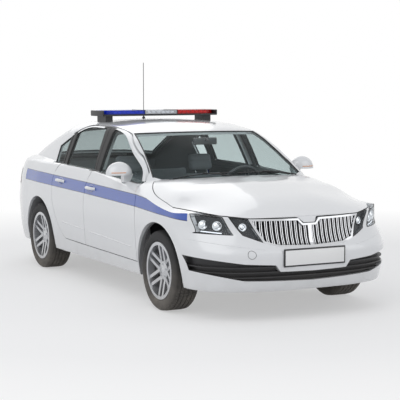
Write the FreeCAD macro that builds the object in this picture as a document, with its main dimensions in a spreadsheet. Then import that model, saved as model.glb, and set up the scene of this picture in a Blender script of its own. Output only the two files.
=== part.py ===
import FreeCAD, Part
import math
import os
import Sketcher
from FreeCAD import Placement, Rotation, Vector

# Police patrol car, a five-door liftback. X points forward, Y to the left, Z up, ground at zero.

os.makedirs("parts", exist_ok=True)
doc = FreeCAD.newDocument("patrol_car")

# Driving dimensions in millimetres
sizes = [
    # Whole body
    ("body_length", 4670),
    ("body_width", 1814),
    ("roof_height", 1461),
    ("underbody_height", 235),
    ("wheelbase", 2686),
    ("front_axle_x", 1430),
    ("wheel_centre_z", 317),
    ("wheel_centre_y", 775),
    ("overrun", 400),
    # Panels
    ("door_thickness", 125),
    ("fender_thickness", 55),
    ("bonnet_thickness", 28),
    ("roof_thickness", 30),
    ("skin_flange", 25),
    ("door_step", 35),
    ("panel_gap", 6.5),
    ("frame_gap_rear", 15),
    ("frame_gap_top", 10),
    ("glass_thickness", 5),
    ("glass_depth", 8),
    ("screen_thickness", 7),
    ("screen_depth", 3),
    ("arch_radius", 385),
    ("wheelhouse_wall", 24),
    ("wheelhouse_width", 330),
    ("bonnet_clearance", 8),
    ("bulkhead_x", 1008),
    ("bulkhead_thickness", 36),
    ("cowl_drop", 34),
    ("cowl_rear_x", 955),
    ("cowl_front_x", 1200),
    ("cowl_half_width", 690),
    ("hinge_pillar_depth", 22),
    ("belt_hollow_z", 985),
    ("hollow_drop", 12),
    ("pillar_depth", 32),
    ("rail_reach", 12),
    ("pillar_half_width", 30),
    ("door_swing_room", 6),
    ("post_clearance", 6),
    ("post_depth", 46),
    ("hinge_pillar_top", 900),
    ("lamp_depth", 60),
    ("screen_foot_drop", 10),
    # Shut lines
    ("fender_rear_x", 1036),
    ("bumper_top_z", 690),
    ("tailgate_gap", 7),
    ("tailgate_hinge_z", 1394),
    ("tailgate_hinge_x", 1100),
    ("tailgate_hinge_y", 300),
    ("hinge_pin", 4),
    ("hinge_barrel", 8),
    ("hinge_width", 24),
    ("hinge_clearance", 0.3),
    ("hinge_side_gap", 2),
    ("hinge_arm", 35),
    # Floor
    ("floor_z", 250),
    ("floor_thickness", 30),
    ("tunnel_width", 240),
    ("tunnel_height", 150),
    ("boot_floor_z", 400),
    ("boot_step_x", 560),
    ("boot_end_x", 2210),
    ("jack_pad_x", 720),
    ("jack_pad_y", 780),
    ("jack_pad_length", 90),
    ("jack_pad_width", 50),
    ("jack_pad_height", 12),
    ("rail_y", 420),
    ("rail_width", 56),
    ("rail_z", 455),
    ("rail_height", 90),
    ("tower_length", 200),
    ("tower_drop", 60),
    ("sill_rear_x", 880),
    # Tyre and rim
    ("tyre_radius", 317),
    ("tyre_width", 222),
    ("rim_radius", 228),
    ("bead_radius", 212),
    ("barrel_radius", 202),
    ("rim_width", 202),
    ("flange_width", 7),
    ("bead_clearance", 0.3),
    ("hub_radius", 72),
    ("hub_face", 60),
    ("hub_bore", 30),
    ("hub_bore_depth", 50),
    ("cap_radius", 28),
    ("spoke_width", 26),
    ("spoke_thickness", 22),
    ("spoke_splay", 62),
    ("disc_radius", 150),
    ("disc_thickness", 22),
    ("disc_inner_face", 4),
    # Front suspension
    ("kingpin_y", 680),
    ("running_gap", 0.4),
    ("pin_height", 84),
    ("knuckle_radius", 22),
    ("carrier_radius", 52),
    ("carrier_thickness", 34),
    ("caliper_width", 62),
    ("caliper_height", 120),
    ("caliper_depth", 26),
    ("caliper_reach", 185),
    ("disc_clearance", 1),
    ("strut_radius", 25),
    ("strut_y", 600),
    ("strut_top_z", 800),
    ("arm_thickness", 30),
    ("arm_width", 56),
    ("crossmember_length", 150),
    ("crossmember_height", 60),
    ("crossmember_z", 190),
    ("strut_foot_height", 45),
    ("spring_radius", 42),
    ("spring_height", 190),
    ("engine_length", 560),
    ("engine_width", 700),
    ("engine_height", 500),
    ("engine_x", 1560),
    ("engine_z", 290),
    # Rear suspension
    ("beam_radius", 38),
    ("beam_x", 1010),
    ("trailing_arm_y", 535),
    ("trailing_arm_radius", 30),
    ("trailing_pivot_x", 870),
    ("pivot_block", 84),
    ("damper_radius", 24),
    # Below
    ("tank_length", 290),
    ("tank_width", 620),
    ("tank_height", 150),
    ("tank_x", 750),
    ("tank_z", 250),
    ("pipe_y", 200),
    ("pipe_z", 202),
    ("tailpipe_y", 420),
    ("tailpipe_z", 205),
    ("tailpipe_radius", 22),
    ("tailpipe_end_x", 2325),
    ("pipe_radius", 28),
    ("silencer_radius", 85),
    ("silencer_length", 480),
    ("silencer_x", 1900),
    ("silencer_z", 312),
    # Light bar and antenna
    ("bar_width", 1180),
    ("bar_depth", 290),
    ("bar_x", 495),
    ("bar_bottom_z", 1490),
    ("bar_top_z", 1542),
    ("bar_base_height", 14),
    ("bar_foot_width", 70),
    ("bar_foot_depth", 200),
    ("bar_foot_drop", 120),
    ("bar_centre_width", 330),
    ("lens_seam", 3),
    ("antenna_x", 745),
    ("antenna_radius", 3),
    ("antenna_base_radius", 20),
    ("antenna_base_height", 22),
    ("antenna_top_z", 1990),
    ("antenna_foot_z", 1457),
    # Inside
    ("seat_width", 500),
    ("seat_y", 370),
    ("seat_x", 140),
    ("seat_length", 500),
    ("cushion_z", 330),
    ("cushion_height", 130),
    ("seat_inset", 40),
    ("seat_tilt", 18),
    ("headrest_width", 260),
    ("headrest_height", 180),
    ("headrest_thickness", 96),
    ("seat_back_height", 620),
    ("seat_back_thickness", 120),
    ("bench_x", 580),
    ("bench_length", 460),
    ("bench_width", 1120),
    ("bench_cushion_height", 130),
    ("bench_back_height", 560),
    ("bench_foot_length", 180),
    ("dash_width", 1458),
    ("steering_radius", 185),
    ("steering_rim_radius", 15),
    ("steering_x", 520),
    ("steering_z", 880),
    ("steering_tilt", 22),
    ("steering_hub_radius", 60),
    ("steering_hub_depth", 40),
    ("column_radius", 28),
    ("column_length", 220),
    # Grille and intakes
    ("grille_depth", 43),
    ("grille_frame", 15),
    ("blade_setback", 12),
    ("blade_pitch", 40),
    ("blade_splay", 14),
    ("blade_width", 6),
    ("blade_clearance", 4),
    ("intake_bar_z", 345),
    ("intake_bar_pitch", 38),
    ("intake_bar_height", 8),
    # Mirrors
    ("cabin_room_half", 690),
    ("cabin_room_top", 1040),
    ("mirror_reach", 1008),
    ("mirror_x", 700),
    ("mirror_z", 1036),
    ("mirror_depth", 150),
    ("mirror_width", 232),
    ("mirror_height", 204),
    ("mirror_foot", 60),
    ("mirror_base_drop", 8),
]
sheet = doc.addObject("Spreadsheet::Sheet", "Sizes")
for row, (alias, value) in enumerate(sizes, 1):
    sheet.set("A%d" % row, alias)
    sheet.set("B%d" % row, str(value))
    sheet.setAlias("B%d" % row, alias)
doc.recompute()


def size(name):
    return float(sheet.get(name))


halfLength = size("body_length") / 2
halfWidth = size("body_width") / 2
roofHeight = size("roof_height")
overrun = size("overrun")
tolerance = halfLength * 1e-7
rearAxleX = size("front_axle_x") - size("wheelbase")


# Each level of the lower body: height, half width, nose reach, nose fullness, corner, tail reach
levelShares = [
    (0.161, 0.948, 0.981, 2.70, 3.00, 0.969),
    (0.205, 0.965, 0.993, 2.70, 3.00, 0.985),
    (0.274, 0.982, 0.999, 2.70, 3.00, 0.994),
    (0.342, 0.990, 1.000, 2.70, 3.00, 0.998),
    (0.366, 0.992, 0.997, 2.70, 3.00, 0.999),
    (0.387, 0.994, 0.985, 2.65, 2.95, 0.9993),
    (0.407, 0.996, 0.976, 2.60, 2.80, 0.9993),
    (0.428, 0.998, 0.972, 2.50, 2.45, 0.9993),
    (0.452, 0.999, 0.969, 2.35, 2.05, 0.998),
    (0.479, 1.000, 0.966, 2.35, 1.88, 0.985),
    (0.541, 0.997, 0.957, 2.50, 2.00, 0.971),
    (0.616, 0.983, 0.942, 2.50, 2.00, 0.959),
    (0.684, 0.945, 0.925, 2.50, 2.00, 0.949),
    (0.739, 0.890, 0.912, 2.50, 2.00, 0.940),
]
# Places along the side and the half width there
sideShares = [(0.612, 0.998), (0.450, 0.994), (0.214, 0.994), (0.000, 0.998), (-0.193, 1.000),
              (-0.385, 1.000), (-0.557, 0.998)]
noseStartShare = 0.728
tailStartShare = 0.685
cornerWidthShare = 0.985
tailFullness = 2.5
tailCorner = 3.0
mirrorFlatShare = 0.4
bladeCount = 11
barCount = 3
spokePairs = 6
cornerSteps = 24
crownRowCount = 27
crownColumnCount = 12
cabinRowCount = 24
cabinPointCount = 25
outlineCount = 61
levelCount = 18


def cornerPoints(startX, reachX, width, fullness, corner):
    """A quarter of a superellipse from the centre line out to the side."""
    points = []
    for step in range(cornerSteps + 1):
        angle = step / cornerSteps * math.pi / 2
        x = startX + (reachX - startX) * max(math.cos(angle), 0) ** (2 / corner)
        y = width * math.sin(angle) ** (2 / fullness)
        points.append((x, y))
    points[-1] = (startX, width)
    return points


def insetOutline(points, inset):
    """Moves each point of a half outline inwards, square to the outline."""
    moved = []
    for index, (x, y) in enumerate(points):
        if index in (0, len(points) - 1):
            moved.append((x - math.copysign(inset, x), 0))
            continue
        dx = points[index + 1][0] - points[index - 1][0]
        dy = points[index + 1][1] - points[index - 1][1]
        length = math.hypot(dx, dy)
        moved.append((x + dy / length * inset, y - dx / length * inset))
    return moved


def evenPoints(points, count):
    """Points at equal steps along a line through the given ones."""
    lengths = [0]
    for first, second in zip(points, points[1:]):
        lengths.append(lengths[-1] + math.dist(first, second))
    even = []
    index = 0
    for step in range(count):
        target = lengths[-1] * step / (count - 1)
        while index < len(points) - 2 and lengths[index + 1] < target:
            index += 1
        part = (target - lengths[index]) / (lengths[index + 1] - lengths[index])
        even.append(tuple(a + (b - a) * part for a, b in zip(points[index], points[index + 1])))
    return even


def smoothRow(rows, place):
    """A row of a table between its own rows, on a smooth curve through them."""
    index = 0
    while index < len(rows) - 2 and (rows[index + 1][0] - place) * (rows[0][0] - rows[-1][0]) > 0:
        index += 1
    before = rows[max(index - 1, 0)]
    first = rows[index]
    second = rows[index + 1]
    after = rows[min(index + 2, len(rows) - 1)]
    span = second[0] - first[0]
    part = (place - first[0]) / span
    blend = (2 * part ** 3 - 3 * part ** 2 + 1, part ** 3 - 2 * part ** 2 + part,
             3 * part ** 2 - 2 * part ** 3, part ** 3 - part ** 2)
    values = []
    for a, b, c, d in zip(before, first, second, after):
        startSlope = (c - a) / (second[0] - before[0]) * span
        endSlope = (d - b) / (after[0] - first[0]) * span
        values.append(blend[0] * b + blend[1] * startSlope + blend[2] * c + blend[3] * endSlope)
    return tuple(values)


def evenRows(rows, count):
    """The table at equal steps of its first value."""
    first = rows[0][0]
    step = (rows[-1][0] - first) / (count - 1)
    return [smoothRow(rows, first + step * index) for index in range(count)]


def levelPoints(row, inset, lift):
    """Half of the plan outline at one level, from the tail's centre line to the nose's."""
    heightShare, widthShare, noseShare, fullness, corner, tailShare = row
    width = halfWidth * widthShare
    nose = cornerPoints(noseStartShare * halfLength, noseShare * halfLength,
                        width * cornerWidthShare, fullness, corner)
    tail = cornerPoints(-tailStartShare * halfLength, -tailShare * halfLength,
                        width * cornerWidthShare, tailFullness, tailCorner)
    side = [(share * halfLength, width * part) for share, part in sideShares]
    half = evenPoints(tail + side[::-1] + nose[::-1], outlineCount)
    half = insetOutline(half, inset)
    return [Vector(x, y, heightShare * roofHeight + lift) for x, y in half]


def evenLevels():
    """The level table at equal steps of height."""
    first = levelShares[0][0]
    rise = levelShares[-1][0] - first
    rows = []
    for step in range(levelCount):
        height = first + rise * step / (levelCount - 1)
        index = 0
        while index < len(levelShares) - 2 and levelShares[index + 1][0] < height:
            index += 1
        below = levelShares[index]
        above = levelShares[index + 1]
        part = (height - below[0]) / (above[0] - below[0])
        rows.append(tuple(a + (b - a) * part for a, b in zip(below, above)))
    return rows


def surfaceFace(rows):
    surface = Part.BSplineSurface()
    surface.interpolate(rows)
    return surface.toShape()


def edgesAtLevel(face, level):
    return [edge for edge in face.Edges
            if max(abs(vertex.Z - level) for vertex in edge.Vertexes) < tolerance]


def lowerBody(inset=0.0, lift=0.0):
    """The body up to the belt, closed at its lowest and highest level."""
    left = surfaceFace([levelPoints(row, inset, lift) for row in evenLevels()])
    right = left.mirror(Vector(0, 0, 0), Vector(0, 1, 0))
    faces = [left, right]
    for row in (levelShares[0], levelShares[-1]):
        level = row[0] * roofHeight + lift
        edges = edgesAtLevel(left, level) + edgesAtLevel(right, level)
        faces.append(Part.Face(Part.Wire(Part.__sortEdges__(edges))))
    shell = Part.makeShell(faces)
    shell.sewShape()
    solid = Part.makeSolid(shell)
    if solid.Volume < 0:
        solid.reverse()
    return solid


# Height of the bonnet, belt and rear deck over the plan: columns across, rows from nose to tail
crownColumnShares = (0.0, 0.331, 0.662, 0.827, 0.915, 0.992, 1.103)
crownRowShares = [
    (1.049, (0.472, 0.469, 0.452, 0.438, 0.424, 0.411, 0.390)),
    (0.959, (0.528, 0.524, 0.505, 0.483, 0.472, 0.459, 0.438)),
    (0.921, (0.563, 0.557, 0.537, 0.513, 0.500, 0.483, 0.459)),
    (0.887, (0.582, 0.576, 0.551, 0.532, 0.524, 0.507, 0.480)),
    (0.814, (0.619, 0.614, 0.582, 0.560, 0.553, 0.534, 0.503)),
    (0.721, (0.650, 0.645, 0.618, 0.585, 0.565, 0.545, 0.513)),
    (0.642, (0.674, 0.669, 0.650, 0.626, 0.592, 0.567, 0.534)),
    (0.557, (0.688, 0.683, 0.669, 0.648, 0.618, 0.590, 0.554)),
    (0.484, (0.696, 0.693, 0.684, 0.665, 0.638, 0.606, 0.568)),
    (0.407, (0.696, 0.694, 0.688, 0.677, 0.652, 0.613, 0.575)),
    (0.300, (0.700, 0.698, 0.693, 0.685, 0.668, 0.633, 0.589)),
    (0.000, (0.712, 0.712, 0.710, 0.709, 0.700, 0.657, 0.609)),
    (-0.404, (0.725, 0.725, 0.724, 0.720, 0.709, 0.665, 0.616)),
    (-0.600, (0.736, 0.736, 0.734, 0.730, 0.712, 0.667, 0.616)),
    (-0.792, (0.747, 0.746, 0.741, 0.726, 0.691, 0.650, 0.602)),
    (-0.878, (0.745, 0.742, 0.730, 0.693, 0.661, 0.623, 0.582)),
    (-0.942, (0.738, 0.734, 0.712, 0.667, 0.637, 0.602, 0.561)),
    (-1.049, (0.725, 0.720, 0.691, 0.643, 0.613, 0.582, 0.541)),
]


def underCrown(drop):
    """Everything below the bonnet, belt and deck, lowered by a drop."""
    rows = []
    for row in evenRows([(place,) + heights for place, heights in crownRowShares], crownRowCount):
        columns = evenRows(list(zip(crownColumnShares, row[1:])), crownColumnCount)
        side = [(share * halfWidth, height) for share, height in columns]
        across = [(-y, height) for y, height in side[:0:-1]] + side
        rows.append([Vector(row[0] * halfLength, y, height * roofHeight - drop) for y, height in across])
    return surfaceFace(rows).extrude(Vector(0, 0, -roofHeight))


# Sections of the cabin top: place, centre height, half width at the belt and at the rail, crown drop
cabinShares = [
    (0.514, 0.657, 0.772, 0.595, 0.048),
    (0.475, 0.696, 0.799, 0.606, 0.047),
    (0.428, 0.741, 0.832, 0.623, 0.042),
    (0.364, 0.798, 0.865, 0.645, 0.038),
    (0.300, 0.851, 0.885, 0.664, 0.034),
    (0.236, 0.899, 0.895, 0.678, 0.029),
    (0.180, 0.936, 0.900, 0.688, 0.026),
    (0.132, 0.958, 0.902, 0.695, 0.025),
    (0.066, 0.973, 0.904, 0.704, 0.024),
    (0.000, 0.986, 0.906, 0.710, 0.023),
    (-0.107, 0.997, 0.906, 0.714, 0.022),
    (-0.214, 1.000, 0.904, 0.714, 0.021),
    (-0.321, 0.996, 0.899, 0.710, 0.021),
    (-0.407, 0.980, 0.891, 0.701, 0.023),
    (-0.493, 0.940, 0.878, 0.688, 0.024),
    (-0.600, 0.888, 0.858, 0.668, 0.026),
    (-0.707, 0.826, 0.829, 0.645, 0.025),
    (-0.792, 0.775, 0.799, 0.623, 0.024),
    (-0.857, 0.741, 0.772, 0.604, 0.023),
    (-0.921, 0.708, 0.739, 0.584, 0.023),
]
cabinFootShare = 0.560
beltShare = 0.684
railShare = 0.958
glassBulgeShare = 0.010
crownReachShare = 0.662
crownPower = 2.2
railRoundShare = 0.040
endReachShare = 0.2


def cabinSection(row, inset):
    """The left half of one section, from the foot of the side up to the centre line."""
    place, top, beltWidth, railWidth, drop = row
    foot = cabinFootShare * roofHeight
    belt = beltShare * roofHeight
    rise = (railShare - beltShare) * roofHeight
    bulge = glassBulgeShare * halfWidth

    def sideAt(z):
        part = (z - belt) / rise
        return halfWidth * (beltWidth + (railWidth - beltWidth) * part) + bulge * 4 * part * (1 - part)

    def topAt(y):
        return roofHeight * (top - drop * (abs(y) / (crownReachShare * halfWidth)) ** crownPower)

    cornerZ = top * roofHeight
    for step in range(20):
        cornerZ = (cornerZ + topAt(sideAt(cornerZ))) / 2
    cornerY = sideAt(cornerZ)
    rounding = railRoundShare * roofHeight
    lowZ = cornerZ - rounding
    lowY = sideAt(lowZ)
    highY = cornerY - rounding
    highZ = topAt(highY)
    points = []
    for part in (0, 0.2, 0.4, 0.6, 0.8):
        z = foot + (lowZ - foot) * part
        points.append((sideAt(z), z))
    for part in (0, 0.1, 0.2, 0.3, 0.4, 0.5, 0.6, 0.7, 0.8, 0.9):
        a = (1 - part) ** 2
        b = 2 * part * (1 - part)
        c = part ** 2
        points.append((a * lowY + b * cornerY + c * highY, a * lowZ + b * cornerZ + c * highZ))
    for part in (1, 0.9, 0.8, 0.7, 0.6, 0.5, 0.4, 0.3, 0.2, 0.1):
        points.append((highY * part, topAt(highY * part)))
    points.append((0, top * roofHeight))
    points = evenPoints(points, cabinPointCount)
    moved = []
    for index, (y, z) in enumerate(points):
        before = points[max(index - 1, 0)]
        after = points[min(index + 1, len(points) - 1)]
        dy = after[0] - before[0]
        dz = after[1] - before[1]
        length = math.hypot(dy, dz)
        moved.append((y - dz / length * inset, z + dy / length * inset))
    moved[0] = (moved[0][0], foot)
    moved[-1] = (0, top * roofHeight - inset)
    x = place * (halfLength + inset * endReachShare)
    return [Vector(x, y, z) for y, z in moved]


def underCabin(inset):
    """Everything below the windscreen, roof and side glass, each lowered by an inset."""
    rows = []
    for row in evenRows(cabinShares, cabinRowCount):
        left = cabinSection(row, inset)
        right = [Vector(point.x, -point.y, point.z) for point in left[:-1]]
        rows.append(right + left[::-1])
    return surfaceFace(rows).extrude(Vector(0, 0, -(railShare - beltShare) * roofHeight))


def sidePoint(y):
    return lambda x, z: Vector(x, y, z)


def planPoint(z):
    return lambda x, y: Vector(x, y, z)


def facePoint(x):
    return lambda y, z: Vector(x, y, z)


def outlinePrism(runs, place, reach):
    """A solid from an outline: a run of two points is straight, a longer one is a smooth curve."""
    edges = []
    for run in runs:
        points = [place(a, b) for a, b in run]
        if len(points) == 2:
            edges.append(Part.makeLine(points[0], points[1]))
        else:
            curve = Part.BSplineCurve()
            curve.interpolate(points)
            edges.append(curve.toShape())
    return Part.Face(Part.Wire(edges)).extrude(reach)


def polygon(points):
    return [[first, second] for first, second in zip(points, points[1:] + points[:1])]


def scaled(shares, across, up):
    return [(a * across, b * up) for a, b in shares]


def sideCut(runs):
    """A cut through the left half of the body, from an outline seen from the side."""
    return outlinePrism(runs, sidePoint(0), Vector(0, halfWidth + overrun, 0))


def planCut(runs, lowZ):
    """A cut straight down to a height, from an outline seen from above."""
    return outlinePrism(runs, planPoint(lowZ), Vector(0, 0, roofHeight + overrun - lowZ))


def block(lowX, lowY, lowZ, highX, highY, highZ):
    return Part.makeBox(highX - lowX, highY - lowY, highZ - lowZ, Vector(lowX, lowY, lowZ))


def mirrored(shape):
    return shape.mirror(Vector(0, 0, 0), Vector(0, 1, 0))


def bothSides(shape):
    return Part.makeCompound([shape, mirrored(shape)])


def largest(shape, count=1):
    """The largest solids of a cut, without the slivers that a shut line leaves."""
    solids = sorted(shape.Solids, key=lambda solid: -solid.Volume)[:count]
    return solids[0] if count == 1 else Part.makeCompound(solids)


def addShape(name, shape):
    """A sub-part made with Part's own functions; it stands where it was modelled."""
    feature = doc.addObject("Part::Feature", name)
    feature.Label = name
    feature.Shape = shape
    feature.Placement = Placement()
    parts[name] = feature
    return feature


parts = {}
sideLimit = halfWidth + overrun
noseLimit = halfLength + overrun

# Solids that the panels are cut from
thickness = size("door_thickness")
gap = size("panel_gap")
underbody = size("underbody_height")
hollowDrop = size("bonnet_thickness") + size("bonnet_clearance")
fenderRearX = size("fender_rear_x")
lower = lowerBody().common(underCrown(0))
hull = lower.fuse(underCabin(0))
leftSide = block(-noseLimit, 0, -overrun, noseLimit, sideLimit, roofHeight + overrun)
behindFenders = block(-noseLimit, -sideLimit, -overrun, fenderRearX, sideLimit, roofHeight + overrun)
aheadOfDoors = block(fenderRearX, -sideLimit, -overrun, noseLimit, sideLimit, roofHeight + overrun)
aboveBelt = block(-noseLimit, -sideLimit, size("belt_hollow_z"), noseLimit, sideLimit, roofHeight + overrun)
innerLower = lowerBody(thickness, -size("hollow_drop"))
frameLayer = underCabin(size("roof_thickness"))


def wheelCylinder(axleX, radius, innerY):
    return Part.makeCylinder(radius, sideLimit - innerY, Vector(axleX, innerY, size("wheel_centre_z")),
                             Vector(0, 1, 0))


archRadius = size("arch_radius")
wellInnerY = halfWidth - size("wheelhouse_width")
wheelhouse = wheelCylinder(rearAxleX, archRadius + size("wheelhouse_wall"), wellInnerY)
rearWell = wheelCylinder(rearAxleX, archRadius, wellInnerY + size("wheelhouse_wall"))
frontWell = wheelCylinder(size("front_axle_x"), archRadius, wellInnerY)
cabinSpace = innerLower.common(behindFenders).common(underCrown(hollowDrop))
cabinSpace = cabinSpace.fuse(frameLayer.common(aboveBelt))
cabinSpace = cabinSpace.cut(bothSides(wheelhouse))
shell = hull.cut(cabinSpace)
leftShell = shell.common(leftSide).common(behindFenders)
behindDoors = block(-noseLimit, -sideLimit, -overrun, -size("sill_rear_x"), sideLimit, roofHeight)


# Outlines of the doors, seen from the side
frameTopShares = [(0.415, 0.654), (0.388, 0.720), (0.309, 0.802), (0.226, 0.867), (0.146, 0.927),
                  (0.056, 0.956), (-0.021, 0.964)]
rearFrameTopShares = [(-0.021, 0.964), (-0.116, 0.967), (-0.210, 0.964), (-0.300, 0.935),
                      (-0.359, 0.905)]
middleLineShares = [(0.001, 0.705), (-0.017, 0.637), (-0.029, 0.548), (-0.033, 0.411),
                    (-0.033, 0.240)]
rearDoorEdgeShares = [(-0.348, 0.712), (-0.372, 0.650), (-0.377, 0.548), (-0.364, 0.445),
                      (-0.332, 0.356), (-0.296, 0.294), (-0.257, 0.255), (-0.231, 0.245)]
windowFrontTopShares = [(0.393, 0.667), (0.377, 0.708), (0.303, 0.785), (0.221, 0.849),
                        (0.142, 0.910), (0.077, 0.935), (0.018, 0.948)]
windowRearTopShares = [(-0.055, 0.951), (-0.128, 0.952), (-0.210, 0.949), (-0.274, 0.930),
                       (-0.322, 0.906)]
quarterTopShares = [(-0.371, 0.883), (-0.411, 0.857), (-0.465, 0.818)]
doorShoulderShares = [(0.441, 0.597), (0.422, 0.637)]
doorFootShares = [(0.441, 0.231)]
windowFootShares = [(0.393, 0.659), (0.035, 0.695), (-0.012, 0.700), (-0.314, 0.710)]
quarterFootShares = [(-0.362, 0.712), (-0.452, 0.712)]


def sideRun(shares, shiftX=0.0, shiftZ=0.0):
    return [(x * halfLength + shiftX, z * roofHeight + shiftZ) for x, z in shares]


def frontDoorRuns(edge, middle, top, foot):
    """The front door's outline, drawn in by a gap at its front, middle, top and foot."""
    frame = sideRun(frameTopShares, -edge, -top)
    line = sideRun(middleLineShares, middle)
    frame[-1] = (frame[-1][0] + edge + middle, frame[-1][1])
    line[-1] = (line[-1][0], line[-1][1] + foot)
    low = sideRun(doorFootShares, -edge, foot)[0]
    shoulder = sideRun(doorShoulderShares, -edge)
    return [frame, [frame[-1], line[0]], line, [line[-1], low], [low, shoulder[0]],
            shoulder, [shoulder[-1], frame[0]]]


def rearDoorRuns(edge, middle, top, foot, frameEdge):
    """The rear door's outline, drawn in by a gap at its middle, top, foot and rear edge."""
    frame = sideRun(rearFrameTopShares, 0, -top)
    line = sideRun(middleLineShares, -middle)
    frame[0] = (frame[0][0] - middle, frame[0][1])
    frame[-1] = (frame[-1][0] + frameEdge, frame[-1][1])
    line[-1] = (line[-1][0], line[-1][1] + foot)
    rear = sideRun(rearDoorEdgeShares, edge)
    rear[0] = (rear[0][0] - edge + frameEdge, rear[0][1])
    rear[-1] = (rear[-1][0], rear[-1][1] + foot)
    return [frame, [frame[-1], rear[0]], rear, [rear[-1], line[-1]], line[::-1], [line[0], frame[0]]]


railLineShares = [(0.500, 0.815), (0.413, 0.775), (0.343, 0.736), (0.274, 0.703), (0.206, 0.675),
                  (0.148, 0.650), (-0.473, 0.645), (-0.600, 0.645)]


def railRoom(reach):
    """The room between the roof rails, out to a reach past the roof panel's edge."""
    line = [(x * halfLength, y * halfWidth + reach) for x, y in railLineShares]
    outline = line + [(line[-1][0], 0), (line[0][0], 0)]
    return outlinePrism(polygon(outline), planPoint(size("belt_hollow_z")), Vector(0, 0, roofHeight))


topGap = size("frame_gap_top")
lapped = -gap / 2
bodyRail = railRoom(size("rail_reach"))
doorRail = railRoom(size("rail_reach") + topGap)
frontAperture = sideCut(frontDoorRuns(0, lapped, 0, 0)).cut(bodyRail)
rearAperture = sideCut(rearDoorRuns(0, lapped, 0, 0, 0)).cut(bodyRail)
frontDoorOutline = sideCut(frontDoorRuns(gap, gap / 2, topGap, gap)).cut(doorRail)
rearDoorOutline = sideCut(rearDoorRuns(gap, gap / 2, topGap, gap, size("frame_gap_rear"))).cut(doorRail)
step = size("door_step")
frontDoorInner = sideCut(frontDoorRuns(gap + step, gap / 2 + step, topGap, gap + step))
rearDoorInner = sideCut(rearDoorRuns(gap + step, gap / 2 + step, topGap, gap + step, gap + step))
windowFoot = sideRun(windowFootShares)
frontWindowTop = sideRun(windowFrontTopShares)
rearWindowTop = sideRun(windowRearTopShares)
quarterTop = sideRun(quarterTopShares)
quarterFoot = sideRun(quarterFootShares)
frontWindowCut = sideCut([frontWindowTop, [frontWindowTop[-1], windowFoot[1]],
                          [windowFoot[1], windowFoot[0]], [windowFoot[0], frontWindowTop[0]]])
rearWindowCut = sideCut([rearWindowTop, [rearWindowTop[-1], windowFoot[3]],
                         [windowFoot[3], windowFoot[2]], [windowFoot[2], rearWindowTop[0]]])
quarterCut = sideCut([quarterTop, [quarterTop[-1], quarterFoot[1]],
                      [quarterFoot[1], quarterFoot[0]], [quarterFoot[0], quarterTop[0]]])
sideGlass = underCabin(size("glass_depth")).cut(underCabin(size("glass_depth") + size("glass_thickness")))
leftGlass = sideGlass.common(leftSide)

# Outlines of the bonnet, windscreen, roof and tailgate, seen from above
bonnetEdgeShares = [(0.435, 0.789), (0.471, 0.851), (0.535, 0.913), (0.642, 0.928), (0.728, 0.931),
                    (0.810, 0.924)]
bonnetFrontShares = [(0.810, 0.924), (0.850, 0.821), (0.884, 0.736), (0.904, 0.690), (0.934, 0.540),
                     (0.947, 0.276), (0.951, 0.000)]
bonnetRearShares = [(0.488, 0.000), (0.483, 0.331), (0.466, 0.617), (0.435, 0.789)]
screenSideShares = [(0.413, 0.775), (0.343, 0.736), (0.274, 0.703), (0.206, 0.675), (0.148, 0.650)]
screenTopShares = [(0.148, 0.650), (0.168, 0.441), (0.179, 0.221), (0.182, 0.000)]
screenFootShares = [(0.477, 0.000), (0.471, 0.331), (0.450, 0.617), (0.413, 0.775)]
tailgateSideShares = [(-0.473, 0.645), (-0.600, 0.681), (-0.749, 0.722), (-0.848, 0.761),
                      (-0.904, 0.796)]
rearScreenSideShares = [(-0.493, 0.604), (-0.600, 0.634), (-0.728, 0.667), (-0.816, 0.692)]
rearScreenFootShares = [(-0.816, 0.692), (-0.829, 0.441), (-0.834, 0.221), (-0.836, 0.000)]


def planRun(shares, shiftX=0.0, shiftY=0.0):
    run = [(x * halfLength + shiftX, y * halfWidth + shiftY) for x, y in shares]
    return [(x, 0) if y * halfWidth == 0 else (x, z) for (x, z), (a, y) in zip(run, shares)]


def acrossRun(run):
    """A run that starts on the centre line, carried on to the other side."""
    return [(x, -y) for x, y in run[:0:-1]] + run


def closedPlan(front, side, rear):
    """An outline over both sides from its left half: front and rear start on the centre line."""
    other = [(x, -y) for x, y in side]
    frontRun = acrossRun(front)
    rearRun = acrossRun(rear)
    return [frontRun, side, rearRun[::-1], other[::-1]]


def bonnetRuns(inset):
    front = planRun(bonnetFrontShares, -inset, -inset / 2)[::-1]
    edge = planRun(bonnetEdgeShares, 0, -inset)[::-1]
    rear = planRun(bonnetRearShares)
    edge[0] = front[-1]
    rear[-1] = edge[-1]
    return closedPlan(front, edge, rear)


def screenRuns():
    foot = planRun(screenFootShares)
    side = planRun(screenSideShares)
    head = planRun(screenTopShares)[::-1]
    return closedPlan(foot, side, head)


def tailgateRuns(inset, endX):
    side = planRun(tailgateSideShares, 0, -inset)
    side[0] = (side[0][0] - inset, side[0][1])
    end = (endX, side[-1][1])
    other = [(x, -y) for x, y in side]
    return [side, [side[-1], end], [end, (end[0], -end[1])], [(end[0], -end[1]), other[-1]],
            other[::-1], [other[0], side[0]]]


def rearScreenRuns():
    side = planRun(rearScreenSideShares)
    foot = planRun(rearScreenFootShares)[::-1]
    other = [(x, -y) for x, y in side]
    footRun = acrossRun(foot)
    return [side, footRun[::-1], other[::-1], [other[0], side[0]]]


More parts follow.
